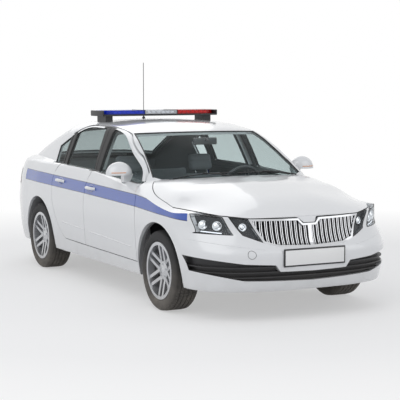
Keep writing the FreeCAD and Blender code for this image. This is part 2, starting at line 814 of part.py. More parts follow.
bumperTop = size("bumper_top_z")
tailgateGap = size("tailgate_gap")
bonnetCut = planCut(bonnetRuns(0), bumperTop)
screenCut = planCut(screenRuns(), bumperTop)
tailgateCut = planCut(tailgateRuns(0, -noseLimit), bumperTop)
rearScreenCut = planCut(rearScreenRuns(), bumperTop)
roofFront = planRun(screenTopShares)[::-1]
roofRear = planRun(tailgateSideShares)[0]
roofRuns = [acrossRun(roofFront), [roofFront[-1], roofRear], [roofRear, (roofRear[0], -roofRear[1])],
            [(roofRear[0], -roofRear[1]), (roofFront[-1][0], -roofFront[-1][1])]]
roofCut = planCut(roofRuns, bumperTop)

# Tailgate hinges: pins in brackets on the roof, and barrels on arms of the tailgate
hingeX = -size("tailgate_hinge_x")
hingeZ = size("tailgate_hinge_z")
hingeY = size("tailgate_hinge_y")
barrelRadius = size("hinge_barrel")
hingeWidth = size("hinge_width")
arm = size("hinge_arm")


def hingePart(radius, width, y):
    return Part.makeCylinder(radius, width, Vector(hingeX, y - width / 2, hingeZ), Vector(0, 1, 0))


hingePins = hingePart(size("hinge_pin"), 3 * hingeWidth, hingeY)
for sign in (-1, 1):
    y = hingeY + sign * (hingeWidth / 2 + barrelRadius + size("hinge_side_gap"))
    foot = block(hingeX - size("hinge_pin"), y - barrelRadius, hingeZ - arm, hingeX + barrelRadius * 2,
                 y + barrelRadius, hingeZ)
    hingePins = hingePins.fuse([hingePart(barrelRadius, 2 * barrelRadius, y), foot])
hingeArmShares = [(1.00, 0.30), (1.00, 0.80), (0.37, 0.63)]
armLine = [(hingeX, hingeZ + barrelRadius / 2)]
armLine += [(hingeX - arm * back, hingeZ - arm * down) for back, down in hingeArmShares]
armLine += [(hingeX - barrelRadius, hingeZ - barrelRadius), (hingeX, hingeZ - barrelRadius)]
hingeArm = outlinePrism(polygon(armLine), sidePoint(hingeY - hingeWidth / 2), Vector(0, hingeWidth, 0))
hingeArm = hingeArm.fuse(hingePart(barrelRadius, hingeWidth, hingeY))
pinRoom = hingePart(size("hinge_pin") + size("hinge_clearance"), 3 * hingeWidth, hingeY)

# Roof panel between the rails
roofPanel = largest(hull.cut(frameLayer).common(roofCut).common(aboveBelt))
addShape("roof_panel", roofPanel.fuse([hingePins, mirrored(hingePins)]))

# Windscreen and rear window, let into the body by their depth
screenOuter = underCabin(size("screen_depth")).common(aboveBelt)
screenInner = underCabin(size("screen_depth") + size("screen_thickness"))
cowlTop = underCrown(size("screen_foot_drop"))
windscreen = largest(screenOuter.common(screenCut).cut(screenInner).cut(cowlTop))
quarterGlass = largest(leftGlass.common(quarterCut))
addShape("fixed_windows", Part.makeCompound([windscreen, quarterGlass, mirrored(quarterGlass)]))

# Tailgate with the rear window
tailgateBody = shell.common(planCut(tailgateRuns(tailgateGap, -noseLimit), bumperTop + tailgateGap))
tailgateBody = largest(tailgateBody.cut(rearScreenCut)).fuse([hingeArm, mirrored(hingeArm)])
addShape("tailgate", tailgateBody.cut(bothSides(pinRoom)))
addShape("rear_window", largest(screenOuter.common(rearScreenCut).cut(screenInner)))

# Rear bumper and tail lamps
quarterEdgeShares = [(-0.685, 0.383), (-0.737, 0.472)]
quarterEdge = sideRun(quarterEdgeShares)
bumperLow = -overrun
bumperRuns = polygon([quarterEdge[0], quarterEdge[1], (-noseLimit, bumperTop), (-noseLimit, bumperLow),
                      (quarterEdge[0][0], bumperLow)])
leftBumperCut = sideCut(bumperRuns)
bumperCut = leftBumperCut.fuse(mirrored(leftBumperCut))
addShape("rear_bumper", largest(shell.common(bumperCut).cut(bothSides(rearWell))))
tailLampShares = [(-0.780, 0.545), (-1.100, 0.540), (-1.100, 0.655), (-0.792, 0.642)]
tailLampCut = sideCut(polygon(sideRun(tailLampShares)))
lampDepth = lowerBody(size("lamp_depth"))
tailLamp = largest(leftShell.common(tailLampCut).cut(lampDepth).cut(tailgateCut))
addShape("tail_lamps", bothSides(tailLamp))

# Body sides: sills, pillars, roof rails and quarter panels
pillarDepth = size("pillar_depth")
middleFront = sideRun(middleLineShares, size("pillar_half_width") - size("door_swing_room"))
middleRear = sideRun(middleLineShares, -size("pillar_half_width"))
postHead = sideRun(rearFrameTopShares)[0]
postReach = size("pillar_half_width")
postFoot = size("underbody_height")
postRuns = [[(postHead[0] + postReach, roofHeight), (middleFront[0][0], middleFront[0][1])], middleFront,
            [middleFront[-1], (middleFront[-1][0], postFoot)],
            [(middleFront[-1][0], postFoot), (middleRear[-1][0], postFoot)],
            [(middleRear[-1][0], postFoot), middleRear[-1]], middleRear[::-1],
            [middleRear[0], (postHead[0] - postReach, roofHeight)],
            [(postHead[0] - postReach, roofHeight), (postHead[0] + postReach, roofHeight)]]
postCut = sideCut(postRuns)
postSkin = underCabin(size("roof_thickness") + size("post_clearance"))
postUpper = frameLayer.cut(underCabin(size("roof_thickness") + size("post_depth"))).common(postCut)
postUpper = postUpper.common(aboveBelt).common(leftSide)
frameRoom = frontAperture.fuse(rearAperture).cut(postSkin)
postUpper = postUpper.cut(frameRoom)
postLower = lowerBody(pillarDepth).common(postCut).cut(innerLower).cut(aboveBelt).common(leftSide)
sides = leftShell.cut(frontAperture).cut(rearAperture).cut(roofCut).cut(screenCut).cut(tailgateCut)
axleRoom = block(rearAxleX - 2 * archRadius, 0, -overrun, rearAxleX + 2 * archRadius,
                 wellInnerY + size("wheelhouse_wall"), size("boot_floor_z"))
sides = sides.cut(leftBumperCut).cut(rearWell).cut(quarterCut).cut(tailLamp).cut(bonnetCut).cut(axleRoom)
hingePillar = lowerBody(size("fender_thickness"), -size("hollow_drop")).cut(innerLower).cut(bonnetCut)
hingePillar = hingePillar.common(block(fenderRearX, 0, underbody, fenderRearX + size("hinge_pillar_depth"),
                                       sideLimit, size("hinge_pillar_top")))
padX = size("jack_pad_x")
padHalf = size("jack_pad_length") / 2
pads = [block(x - padHalf, size("jack_pad_y"), underbody - size("jack_pad_height"), x + padHalf,
              size("jack_pad_y") + size("jack_pad_width"), underbody + size("jack_pad_height"))
        for x in (padX, -padX)]
leftSideBody = largest(sides).fuse([postLower, postUpper, hingePillar] + pads)
addShape("body_sides", bothSides(largest(leftSideBody)))

# Doors with their glass; the inner part of each is stepped in from the skin
skinDepth = lowerBody(size("skin_flange")).cut(aboveBelt)
cabinRoom = block(-noseLimit, 0, 0, noseLimit, size("cabin_room_half"), size("cabin_room_top"))
leftDoors = {
    "front_left_door": (frontDoorOutline, frontDoorInner, frontWindowCut),
    "rear_left_door": (rearDoorOutline, rearDoorInner, rearWindowCut),
}
for name, (outline, inner, window) in leftDoors.items():
    panel = leftShell.common(outline).cut(skinDepth.cut(inner)).cut(rearWell)
    panel = largest(panel.cut(window).cut(cabinRoom))
    glass = largest(leftGlass.common(window))
    addShape(name, panel)
    addShape(name.replace("door", "window"), glass)
    addShape(name.replace("left", "right"), mirrored(panel))
    addShape(name.replace("left", "right").replace("door", "window"), mirrored(glass))

# Door mirrors: a rounded head on a foot that stands on the door's shoulder
mirrorHalf = Vector(size("mirror_depth") / 2, size("mirror_width") / 2, size("mirror_height") / 2)
mirrorCentre = Vector(size("mirror_x"), size("mirror_reach") - mirrorHalf.y, size("mirror_z"))
head = Part.makeSphere(1)
head.rotate(Vector(), Vector(1, 0, 0), 90)
stretch = FreeCAD.Matrix()
stretch.scale(mirrorHalf)
head = head.transformGeometry(stretch)
head.translate(mirrorCentre)
head = head.cut(block(-noseLimit, 0, 0, mirrorCentre.x - mirrorHalf.x * mirrorFlatShare, sideLimit,
                      roofHeight))
mirrorLow = mirrorCentre.z - size("mirror_base_drop")
head = head.cut(block(-noseLimit, 0, 0, noseLimit, sideLimit, mirrorLow))
footBox = block(mirrorCentre.x - size("mirror_foot") / 2, mirrorCentre.y - mirrorHalf.y - size("mirror_foot"),
                mirrorLow - size("mirror_foot"), mirrorCentre.x + size("mirror_foot") / 2,
                mirrorCentre.y - size("mirror_foot") / 2, mirrorCentre.z)
doorShape = parts["front_left_door"].Shape
mirrorBody = largest(head.fuse(footBox).cut(doorShape).cut(parts["front_left_window"].Shape))
addShape("left_mirror", mirrorBody)
addShape("right_mirror", mirrored(mirrorBody))

# Bonnet, front fenders and front bumper
noseHollow = lowerBody(size("fender_thickness"), -size("hollow_drop")).common(
    underCrown(size("bonnet_thickness")))
noseShell = lower.common(aheadOfDoors).cut(noseHollow)

def insetPolygon(points, inset):
    """A closed outline with each side moved inwards, listed so that the inside is on the right."""
    lines = []
    for (a, b), (c, d) in zip(points, points[1:] + points[:1]):
        length = math.hypot(c - a, d - b)
        lines.append((a + (d - b) / length * inset, b - (c - a) / length * inset, c - a, d - b))
    corners = []
    for (a, b, c, d), (e, f, g, h) in zip(lines[-1:] + lines[:-1], lines):
        part = ((e - a) * h - (f - b) * g) / (c * h - d * g)
        corners.append((a + c * part, b + d * part))
    return corners


def faceCut(points, lowX):
    """A cut forward from a place behind the nose, from a left half outline seen from the front."""
    return outlinePrism(polygon(points), facePoint(lowX), Vector(noseLimit - lowX, 0, 0))


noseLineShares = [(0.000, 0.500), (0.060, 0.500), (0.101, 0.526), (0.534, 0.530), (0.686, 0.541),
                  (0.731, 0.543), (1.100, 0.589), (1.100, 0.200), (0.000, 0.200)]
noseLine = scaled(noseLineShares, halfWidth, roofHeight)
noseRoom = faceCut(noseLine, fenderRearX)
noseGrown = faceCut(insetPolygon(noseLine, -gap), fenderRearX)
bonnetHollow = lowerBody(size("bonnet_thickness")).common(underCrown(size("bonnet_thickness")))
bonnetShell = lower.cut(bonnetHollow).common(planCut(bonnetRuns(gap), bumperTop))
bonnetFront = bonnetCut.copy()
bonnetFront.translate(Vector(gap, 0, 0))
bonnetShell = bonnetShell.common(bonnetFront).cut(noseGrown).cut(mirrored(noseGrown))
addShape("bonnet", largest(bonnetShell))
leftNose = noseShell.common(leftSide).cut(bonnetCut.cut(noseRoom)).cut(frontWell)
fenderEdgeShares = [(0.810, 0.563), (0.834, 0.461), (0.728, 0.413)]
fenderEdge = sideRun(fenderEdgeShares)
frontEndCut = sideCut(polygon([(fenderEdge[0][0], roofHeight), fenderEdge[0], fenderEdge[1], fenderEdge[2],
                               (fenderEdge[2][0], bumperLow), (noseLimit, bumperLow),
                               (noseLimit, roofHeight)]))
leftFender = largest(leftNose.cut(frontEndCut))
addShape("front_fenders", bothSides(leftFender))

outerLampShares = [(1.100, 0.589), (0.731, 0.543), (0.662, 0.450), (1.100, 0.462)]
innerLampShares = [(0.686, 0.541), (0.542, 0.531), (0.443, 0.412), (0.591, 0.449)]
grilleShares = [(0.000, 0.500), (0.060, 0.500), (0.101, 0.526), (0.534, 0.530), (0.434, 0.409),
                (0.313, 0.387), (0.000, 0.379)]
intakeShares = [(0.970, 0.339), (0.948, 0.263), (0.617, 0.220), (0.000, 0.209), (0.000, 0.259),
                (0.320, 0.263), (0.364, 0.298), (0.617, 0.307)]


grillePoints = scaled(grilleShares, halfWidth, roofHeight)
lampRoom = faceCut(scaled(outerLampShares, halfWidth, roofHeight), fenderRearX).common(frontEndCut)
innerLampRoom = faceCut(scaled(innerLampShares, halfWidth, roofHeight), fenderRearX).common(frontEndCut)
grilleRoom = faceCut(grillePoints, fenderRearX)
intakeRoom = faceCut(scaled(intakeShares, halfWidth, roofHeight), fenderRearX).common(frontEndCut)
leftFront = leftNose.common(frontEndCut)
outerLamp = largest(leftFront.common(lampRoom))
innerLamp = largest(leftFront.common(innerLampRoom))
addShape("headlamps", bothSides(Part.makeCompound([outerLamp, innerLamp])))
leftBumper = largest(leftFront.cut(lampRoom).cut(innerLampRoom).cut(grilleRoom).cut(intakeRoom))
addShape("front_bumper", leftBumper.fuse(mirrored(leftBumper)).removeSplitter())


def levelSlabs(count, first, pitch, height):
    """Thin level slabs at equal steps up the nose."""
    solids = []
    for index in range(count):
        low = first + pitch * index - height / 2
        solids.append(block(fenderRearX, -sideLimit, low, noseLimit, sideLimit, low + height))
    return Part.makeCompound(solids)


# Grille: a bright frame in two halves with upright blades in pairs
def noseProfile(place, inset, lowZ, highZ):
    """Points up the nose at one place across, from the level below a height to the one above another."""
    levelStep = (levelShares[-1][0] - levelShares[0][0]) / (levelCount - 1) * roofHeight
    points = []
    for row in evenLevels():
        level = row[0] * roofHeight
        if lowZ - levelStep < level < highZ + levelStep:
            outline = levelPoints(row, inset, 0)
            for first, second in zip(outline, outline[1:]):
                if second.x > 0 and second.y <= place < first.y:
                    part = (first.y - place) / (first.y - second.y)
                    points.append((first.x + (second.x - first.x) * part, level))
    return points


grilleLow = grillePoints[-1][1]
grilleSide, grilleHigh = grillePoints[3]
grilleOpening = insetPolygon(grillePoints, size("grille_frame"))
frontSkin = lower.common(aheadOfDoors).cut(lowerBody(size("grille_depth")))
openingRoom = faceCut(grilleOpening, fenderRearX)
grilleFrame = frontSkin.common(grilleRoom).cut(openingRoom)
firstBlade = size("grille_frame") + size("blade_pitch") / 2
blades = []
for index in range(2 * bladeCount):
    side = 2 * (index % 2) - 1
    middle = firstBlade + size("blade_pitch") * (index // 2) + side * size("blade_splay") / 2
    front = noseProfile(middle, size("blade_setback"), grilleLow, grilleHigh)
    rear = noseProfile(middle, size("grille_depth") - size("blade_clearance"), grilleLow, grilleHigh)
    if middle + size("blade_width") < grilleSide:
        blade = outlinePrism(polygon(front + rear[::-1]), sidePoint(middle - size("blade_width") / 2),
                             Vector(0, size("blade_width"), 0))
        blades.append(blade.common(grilleRoom))
leftGrille = grilleFrame.fuse(blades)
addShape("grille", largest(leftGrille.fuse(mirrored(leftGrille))))

# Air intakes: a dark backing behind the grille and the lower opening, with level bars in the lower one
backing = lowerBody(size("grille_depth")).cut(lowerBody(size("fender_thickness")))
grilleBackRoom = lowerBody(size("grille_depth") + size("blade_clearance"))
leftBacking = backing.common(grilleBackRoom).common(grilleRoom).common(leftSide)
grilleBacking = largest(leftBacking.fuse(mirrored(leftBacking)))
leftIntake = backing.common(intakeRoom).cut(frontWell)
bars = levelSlabs(barCount, size("intake_bar_z"), size("intake_bar_pitch"), size("intake_bar_height"))
intakeBars = frontSkin.common(lowerBody(size("blade_setback"))).common(intakeRoom).common(bars)
leftIntake = leftIntake.fuse(intakeBars.Solids).cut(frontWell)
intakeBody = largest(leftIntake.fuse(mirrored(leftIntake)))
addShape("air_intakes", Part.makeCompound([grilleBacking, intakeBody]))

# Bulkhead with the cowl under the windscreen's foot
footwellLimit = lowerBody(thickness + size("door_swing_room"), -size("hollow_drop"))
bulkheadTop = underCrown(size("cowl_drop"))
bulkheadRear = size("bulkhead_x")
bulkheadWall = size("bulkhead_thickness")
bulkhead = footwellLimit.common(block(bulkheadRear, -sideLimit, underbody, bulkheadRear + bulkheadWall,
                                      sideLimit, roofHeight))
bulkhead = bulkhead.fuse(innerLower.common(block(fenderRearX, -sideLimit, underbody,
                                                 bulkheadRear + bulkheadWall, sideLimit, roofHeight)))
cowlHalf = size("cowl_half_width")
cowlRoom = block(size("cowl_rear_x"), -cowlHalf, underbody, size("cowl_front_x"), cowlHalf, roofHeight)
bonnetRoom = bonnetCut.copy()
bonnetRoom.translate(Vector(-gap, 0, 0))
cowl = cowlTop.common(cowlRoom).cut(bulkheadTop).cut(bonnetRoom)
cowl = cowl.common(largest(lower.fuse(underCabin(size("screen_depth")))))
bulkhead = bulkhead.common(bulkheadTop).cut(bonnetRoom.cut(underCrown(hollowDrop)))
bulkhead = bulkhead.cut(bothSides(hingePillar))
bulkhead = bulkhead.fuse(cowl).removeSplitter()
addShape("bulkhead", largest(bulkhead.cut(parts["body_sides"].Shape)))

# Floor with its tunnel and the raised floor behind it, held between the sills
floorZ = size("floor_z")
floorTop = floorZ + size("floor_thickness")
bootZ = size("boot_floor_z")
bootTop = bootZ + size("floor_thickness")
stepX = -size("boot_step_x")
stepRear = stepX - size("floor_thickness")
bootEnd = -size("boot_end_x")
floorFront = size("bulkhead_x")
floorLine = [(floorFront, floorZ), (stepRear, floorZ), (stepRear, bootZ), (bootEnd, bootZ),
             (bootEnd, bootTop), (stepX, bootTop), (stepX, floorTop), (floorFront, floorTop)]
floorBody = outlinePrism(polygon(floorLine), sidePoint(-halfWidth), Vector(0, 2 * halfWidth, 0))
tunnelHalf = size("tunnel_width") / 2
tunnelWall = size("floor_thickness")
tunnelTop = floorTop + size("tunnel_height")
tunnel = block(stepX, -tunnelHalf, floorZ, floorFront, tunnelHalf, tunnelTop)
tunnelRoom = block(stepX, tunnelWall - tunnelHalf, -overrun, floorFront, tunnelHalf - tunnelWall,
                   tunnelTop - tunnelWall)
floorBody = floorBody.common(footwellLimit.fuse(innerLower.common(behindDoors)))
floorBody = floorBody.fuse(tunnel).cut(tunnelRoom).cut(bothSides(wheelhouse))
addShape("floor_pan", largest(floorBody))

# Front rails, inner wheel arches and strut towers
railY = size("rail_y")
railWidth = size("rail_width")
railZ = size("rail_z")
railTop = railZ + size("rail_height")
axleX = size("front_axle_x")
towerHalf = size("tower_length") / 2
towerTop = size("strut_top_z") + tunnelWall
rail = block(bulkheadRear + bulkheadWall, railY, railZ, noseLimit, railY + railWidth, railTop)
towerWall = block(axleX - towerHalf, railY + railWidth / 2, railTop - railWidth, axleX + towerHalf,
                  railY + railWidth, towerTop)
tower = block(axleX - towerHalf, railY + railWidth / 2, size("strut_top_z"), axleX + towerHalf, sideLimit,
              towerTop)
rails = rail.fuse([towerWall, tower]).common(noseHollow).common(underCrown(size("tower_drop")))
addShape("front_rails", bothSides(rails))


def document(kind, name, place=Vector(), rotation=Rotation(), **expressions):
    """A document object whose sizes come from the sheet."""
    feature = doc.addObject(kind, name)
    for key, expression in expressions.items():
        feature.setExpression(key, expression)
    feature.Placement = Placement(place, rotation)
    return feature


def box(name, place, length, width, height):
    return document("Part::Box", name, place, Length=length, Width=width, Height=height)


def cylinder(name, place, direction, radius, height):
    return document("Part::Cylinder", name, place, Rotation(Vector(0, 0, 1), direction), Radius=radius,
                    Height=height)


def joined(name, features):
    whole = doc.addObject("Part::MultiFuse", name)
    whole.Shapes = features
    return whole


def together(name, features):
    whole = doc.addObject("Part::Compound", name)
    whole.Links = features
    return whole


def otherSide(feature, name):
    copy = doc.addObject("Part::Mirroring", name)
    copy.Source = feature
    copy.Normal = Vector(0, 1, 0)
    return copy


def subPart(feature, name):
    feature.Label = name
    parts[name] = feature
    return feature


alongX = Vector(1, 0, 0)
alongY = Vector(0, 1, 0)
alongZ = Vector(0, 0, 1)
wheelZ = size("wheel_centre_z")
wheelY = size("wheel_centre_y")

# Engine as one closed mass, on the crossmember
engineX = size("engine_x") - size("engine_length") / 2
engineY = -size("engine_width") / 2
engine = box("EngineMass", Vector(engineX, engineY, size("engine_z")), "Sizes.engine_length",
             "Sizes.engine_width", "Sizes.engine_height")
subPart(engine, "engine_block")

# Fuel tank under the rear bench
tankX = -size("tank_x") - size("tank_length") / 2
tank = box("Tank", Vector(tankX, -size("tank_width") / 2, size("tank_z")), "Sizes.tank_length",
           "Sizes.tank_width", "Sizes.tank_height")
subPart(tank, "fuel_tank")

# Exhaust: riser, long pipe, silencer, hanger and tailpipe
pipeFront = engineX + size("pipe_radius")
pipeY = -size("pipe_y")
silencerX = -size("silencer_x")
silencerEnd = -size("tailpipe_y") - size("pipe_radius")
riser = cylinder("Riser", Vector(pipeFront, pipeY, size("pipe_z")), alongZ, "Sizes.pipe_radius",
                 "Sizes.engine_z - Sizes.pipe_z")
longPipe = cylinder("LongPipe", Vector(silencerX, pipeY, size("pipe_z")), alongX, "Sizes.pipe_radius",
                    "Sizes.silencer_x + Sizes.engine_x - Sizes.engine_length / 2 + Sizes.pipe_radius")
silencer = cylinder("Silencer", Vector(silencerX, silencerEnd, size("silencer_z")), alongY,
                    "Sizes.silencer_radius", "Sizes.silencer_length")
hanger = cylinder("Hanger", Vector(silencerX, pipeY, size("silencer_z")), alongZ, "Sizes.pipe_radius / 2",
                  "Sizes.boot_floor_z - Sizes.silencer_z")
drop = cylinder("Drop", Vector(silencerX, -size("tailpipe_y"), size("tailpipe_z")), alongZ,
                "Sizes.tailpipe_radius", "Sizes.silencer_z - Sizes.tailpipe_z")
tailpipe = cylinder("Tailpipe", Vector(-size("tailpipe_end_x"), -size("tailpipe_y"), size("tailpipe_z")),
                    alongX, "Sizes.tailpipe_radius",
                    "Sizes.tailpipe_end_x - Sizes.silencer_x + Sizes.tailpipe_radius")
subPart(joined("Exhaust", [riser, longPipe, silencer, hanger, drop, tailpipe]), "exhaust")

# Seats on their bases, and the rear bench
seatY = size("seat_y") - size("seat_width") / 2
seatX = size("seat_x") - size("seat_length") / 2
baseZ = floorTop
cushionZ = size("cushion_z")
cushion = box("Cushion", Vector(seatX, seatY, cushionZ), "Sizes.seat_length", "Sizes.seat_width",
              "Sizes.cushion_height")
seatBase = box("SeatBase", Vector(seatX + size("seat_inset"), seatY + size("seat_inset"), baseZ),
               "Sizes.seat_length - 2 * Sizes.seat_inset", "Sizes.seat_width - 2 * Sizes.seat_inset",
               "Sizes.cushion_z - Sizes.floor_z - Sizes.floor_thickness")
backTilt = Rotation(alongY, -size("seat_tilt"))
seatBack = document("Part::Box", "SeatBack", Vector(seatX, seatY, cushionZ + size("seat_inset")), backTilt,
                    Length="Sizes.seat_back_thickness", Width="Sizes.seat_width",
                    Height="Sizes.seat_back_height")
headX = seatX - math.sin(math.radians(size("seat_tilt"))) * size("seat_back_height")
headrest = document("Part::Box", "Headrest",
                    Vector(headX, size("seat_y") - size("headrest_width") / 2, cushionZ +
                           size("seat_back_height")), backTilt,
                    Length="Sizes.headrest_thickness", Width="Sizes.headrest_width",
                    Height="Sizes.headrest_height")
leftSeat = joined("LeftSeat", [seatBase, cushion, seatBack, headrest])
subPart(together("FrontSeats", [leftSeat, otherSide(leftSeat, "RightSeat")]), "front_seats")
benchX = -size("bench_x") - size("bench_length") / 2
benchY = -size("bench_width") / 2
bench = box("Bench", Vector(benchX, benchY, bootTop), "Sizes.bench_length", "Sizes.bench_width",
            "Sizes.bench_cushion_height")
benchBack = document("Part::Box", "BenchBack", Vector(benchX, benchY, bootTop), backTilt,
                     Length="Sizes.seat_back_thickness", Width="Sizes.bench_width",
                     Height="Sizes.bench_back_height")
benchFoot = box("BenchFoot", Vector(benchX - size("seat_back_thickness"), benchY, bootTop),
                "Sizes.bench_foot_length", "Sizes.bench_width", "Sizes.seat_inset")
subPart(joined("RearBench", [bench, benchBack, benchFoot]), "rear_bench")

# Dashboard with the steering column
dashHalf = size("dash_width") / 2
dashShares = [(0.440, 0.380), (0.440, 0.660), (0.385, 0.660), (0.317, 0.637), (0.300, 0.600),
              (0.315, 0.520), (0.385, 0.470)]
dashLine = sideRun(dashShares)
dashBody = outlinePrism(polygon(dashLine), sidePoint(-dashHalf), Vector(0, 2 * dashHalf, 0))
dashBody = dashBody.common(underCrown(size("tower_drop")))
dashBody = dashBody.common(block(0, -sideLimit, 0, bulkheadRear, sideLimit, roofHeight))
steerTilt = Rotation(alongY, 90 + size("steering_tilt"))
steerAxis = steerTilt.multVec(alongZ)
steerPlace = Vector(size("steering_x"), size("seat_y"), size("steering_z"))
columnStart = steerPlace + steerAxis * (size("steering_hub_depth") / 2 + size("running_gap"))
column = Part.makeCylinder(size("column_radius"), size("column_length"), columnStart, steerAxis)
addShape("dashboard", dashBody.fuse(column).removeSplitter())

# Steering wheel: rim, hub and three spokes
rimRing = document("Part::Torus", "SteeringRim", steerPlace, steerTilt, Radius1="Sizes.steering_radius",
                   Radius2="Sizes.steering_rim_radius")
steerHub = document("Part::Cylinder", "SteeringHub", steerPlace - steerAxis * (size("steering_hub_depth") / 2),
                    steerTilt, Radius="Sizes.steering_hub_radius", Height="Sizes.steering_hub_depth")
steerSpokes = []
for index, angle in enumerate((-90, 90, 0)):
    turn = steerTilt.multiply(Rotation(alongZ, angle))
    offset = Vector(0, -size("steering_rim_radius"), -size("steering_rim_radius") / 2)
    corner = steerPlace + turn.multVec(offset)
    steerSpokes.append(document("Part::Box", "SteeringSpoke%d" % index, corner, turn,
                                Length="Sizes.steering_radius", Width="Sizes.steering_rim_radius * 2",
                                Height="Sizes.steering_rim_radius"))
subPart(joined("SteeringWheel", [rimRing, steerHub] + steerSpokes), "steering_wheel")

# Light bar: a base on two feet, and three lenses
barX = -size("bar_x") - size("bar_depth") / 2
barHalf = size("bar_width") / 2
barZ = size("bar_bottom_z")
lensZ = barZ + size("bar_base_height")
barBase = block(barX, -barHalf, barZ, barX + size("bar_depth"), barHalf, lensZ)
footInset = (size("bar_depth") - size("bar_foot_depth")) / 2
barFoot = block(barX + footInset, barHalf - size("bar_foot_width") - footInset, barZ - size("bar_foot_drop"),
                barX + footInset + size("bar_foot_depth"), barHalf - footInset, barZ)
barFoot = barFoot.cut(underCabin(0))
addShape("lightbar_base", barBase.fuse(bothSides(barFoot)).removeSplitter())
centreHalf = size("bar_centre_width") / 2
lensEnd = barHalf - size("bar_depth") / 2
lensHeight = size("bar_top_z") - lensZ
lensBody = block(barX, -lensEnd, lensZ, barX + size("bar_depth"), lensEnd, lensZ + lensHeight)
endX = barX + size("bar_depth") / 2
for side in (-1, 1):
    lensBody = lensBody.fuse(Part.makeCylinder(size("bar_depth") / 2, lensHeight,
                                               Vector(endX, side * lensEnd, lensZ), alongZ))
centreLens = block(barX, -centreHalf, lensZ, barX + size("bar_depth"), centreHalf, lensZ + lensHeight)
seam = size("lens_seam")
sideRoom = block(barX, -centreHalf - seam, lensZ, barX + size("bar_depth"), centreHalf + seam,
                 lensZ + lensHeight)
sideLenses = lensBody.removeSplitter().cut(sideRoom)
addShape("lightbar_lenses", Part.makeCompound(sideLenses.Solids + [centreLens]))


def originPlane(body, role):
    return [feature for feature in body.Origin.OriginFeatures if feature.Role == role][0]


def newBody(name):
    body = doc.addObject("PartDesign::Body", name)
    body.Label = name
    parts[name] = body
    return body


def newSketch(body, name, points, shift=None):
    """A closed outline on the body's plane across the wheel axle: along Y, then outwards."""
    sketch = body.newObject("Sketcher::SketchObject", name)
    sketch.AttachmentSupport = [(originPlane(body, "YZ_Plane"), "")]
    sketch.MapMode = "FlatFace"
    if shift:
        sketch.AttachmentOffset = Placement(Vector(0, 0, shift), Rotation())
    count = len(points)
    for index, (start, end) in enumerate(zip(points, points[1:] + points[:1])):
        sketch.addGeometry(Part.LineSegment(Vector(*start, 0), Vector(*end, 0)), False)
    for index in range(count):
        sketch.addConstraint(Sketcher.Constraint("Coincident", index, 2, (index + 1) % count, 1))
    return sketch


def revolved(body, name, sketch):
    revolution = body.newObject("PartDesign::Revolution", name)
    revolution.Profile = sketch
    revolution.ReferenceAxis = (sketch, ["H_Axis"])
    revolution.Angle = 360
    return revolution


tyreHalf = size("tyre_width") / 2
tyreRadius = size("tyre_radius")
rimHalf = size("rim_width") / 2
rimRadius = size("rim_radius")
flangeWidth = size("flange_width")
barrelOuter = size("bead_radius") - size("bead_clearance")
barrelInner = size("barrel_radius")
hubFace = size("hub_face")
hubRadius = size("hub_radius")
spokeThickness = size("spoke_thickness")
spokeFoot = hubRadius - size("cap_radius") / 2
spokeTip = (barrelInner + barrelOuter) / 2
rimLine = [(-rimHalf, barrelInner), (rimHalf, barrelInner), (rimHalf, rimRadius),
           (rimHalf - flangeWidth, rimRadius), (rimHalf - flangeWidth, barrelOuter),
           (flangeWidth - rimHalf, barrelOuter), (flangeWidth - rimHalf, rimRadius), (-rimHalf, rimRadius)]
spokeFace = rimHalf - 2 * flangeWidth
spokeLine = [(hubFace - spokeThickness, spokeFoot), (hubFace, spokeFoot), (spokeFace, spokeTip),
             (spokeFace - spokeThickness, spokeTip)]
discFace = size("disc_inner_face")
hubLine = [(discFace, size("hub_bore")), (discFace, size("disc_radius")),
           (discFace + size("disc_thickness"), size("disc_radius")),
           (discFace + size("disc_thickness"), hubRadius), (hubFace, hubRadius),
           (hubFace + flangeWidth, size("cap_radius")), (hubFace + flangeWidth, 0),
           (size("hub_bore_depth"), 0), (size("hub_bore_depth"), size("hub_bore"))]
beadHalf = rimHalf - flangeWidth - size("bead_clearance")
treadShares = [(0.937, 0.7445), (1.000, 0.8265), (0.955, 0.921), (0.829, 0.981), (0.631, 1.000)]
liningShares = [(0.685, 0.953), (0.811, 0.915), (0.874, 0.8265), (0.757, 0.720)]
outerWall = [(beadHalf, size("bead_radius")), (beadHalf, rimRadius + size("bead_clearance"))]
outerWall += scaled(treadShares, tyreHalf, tyreRadius)
innerWall = scaled(liningShares, tyreHalf, tyreRadius) + [(liningShares[-1][0] * tyreHalf,
                                                           size("bead_radius"))]
tyreLine = outerWall + [(-y, r) for y, r in outerWall[::-1]] + [(-y, r) for y, r in innerWall[::-1]]
tyreLine += innerWall

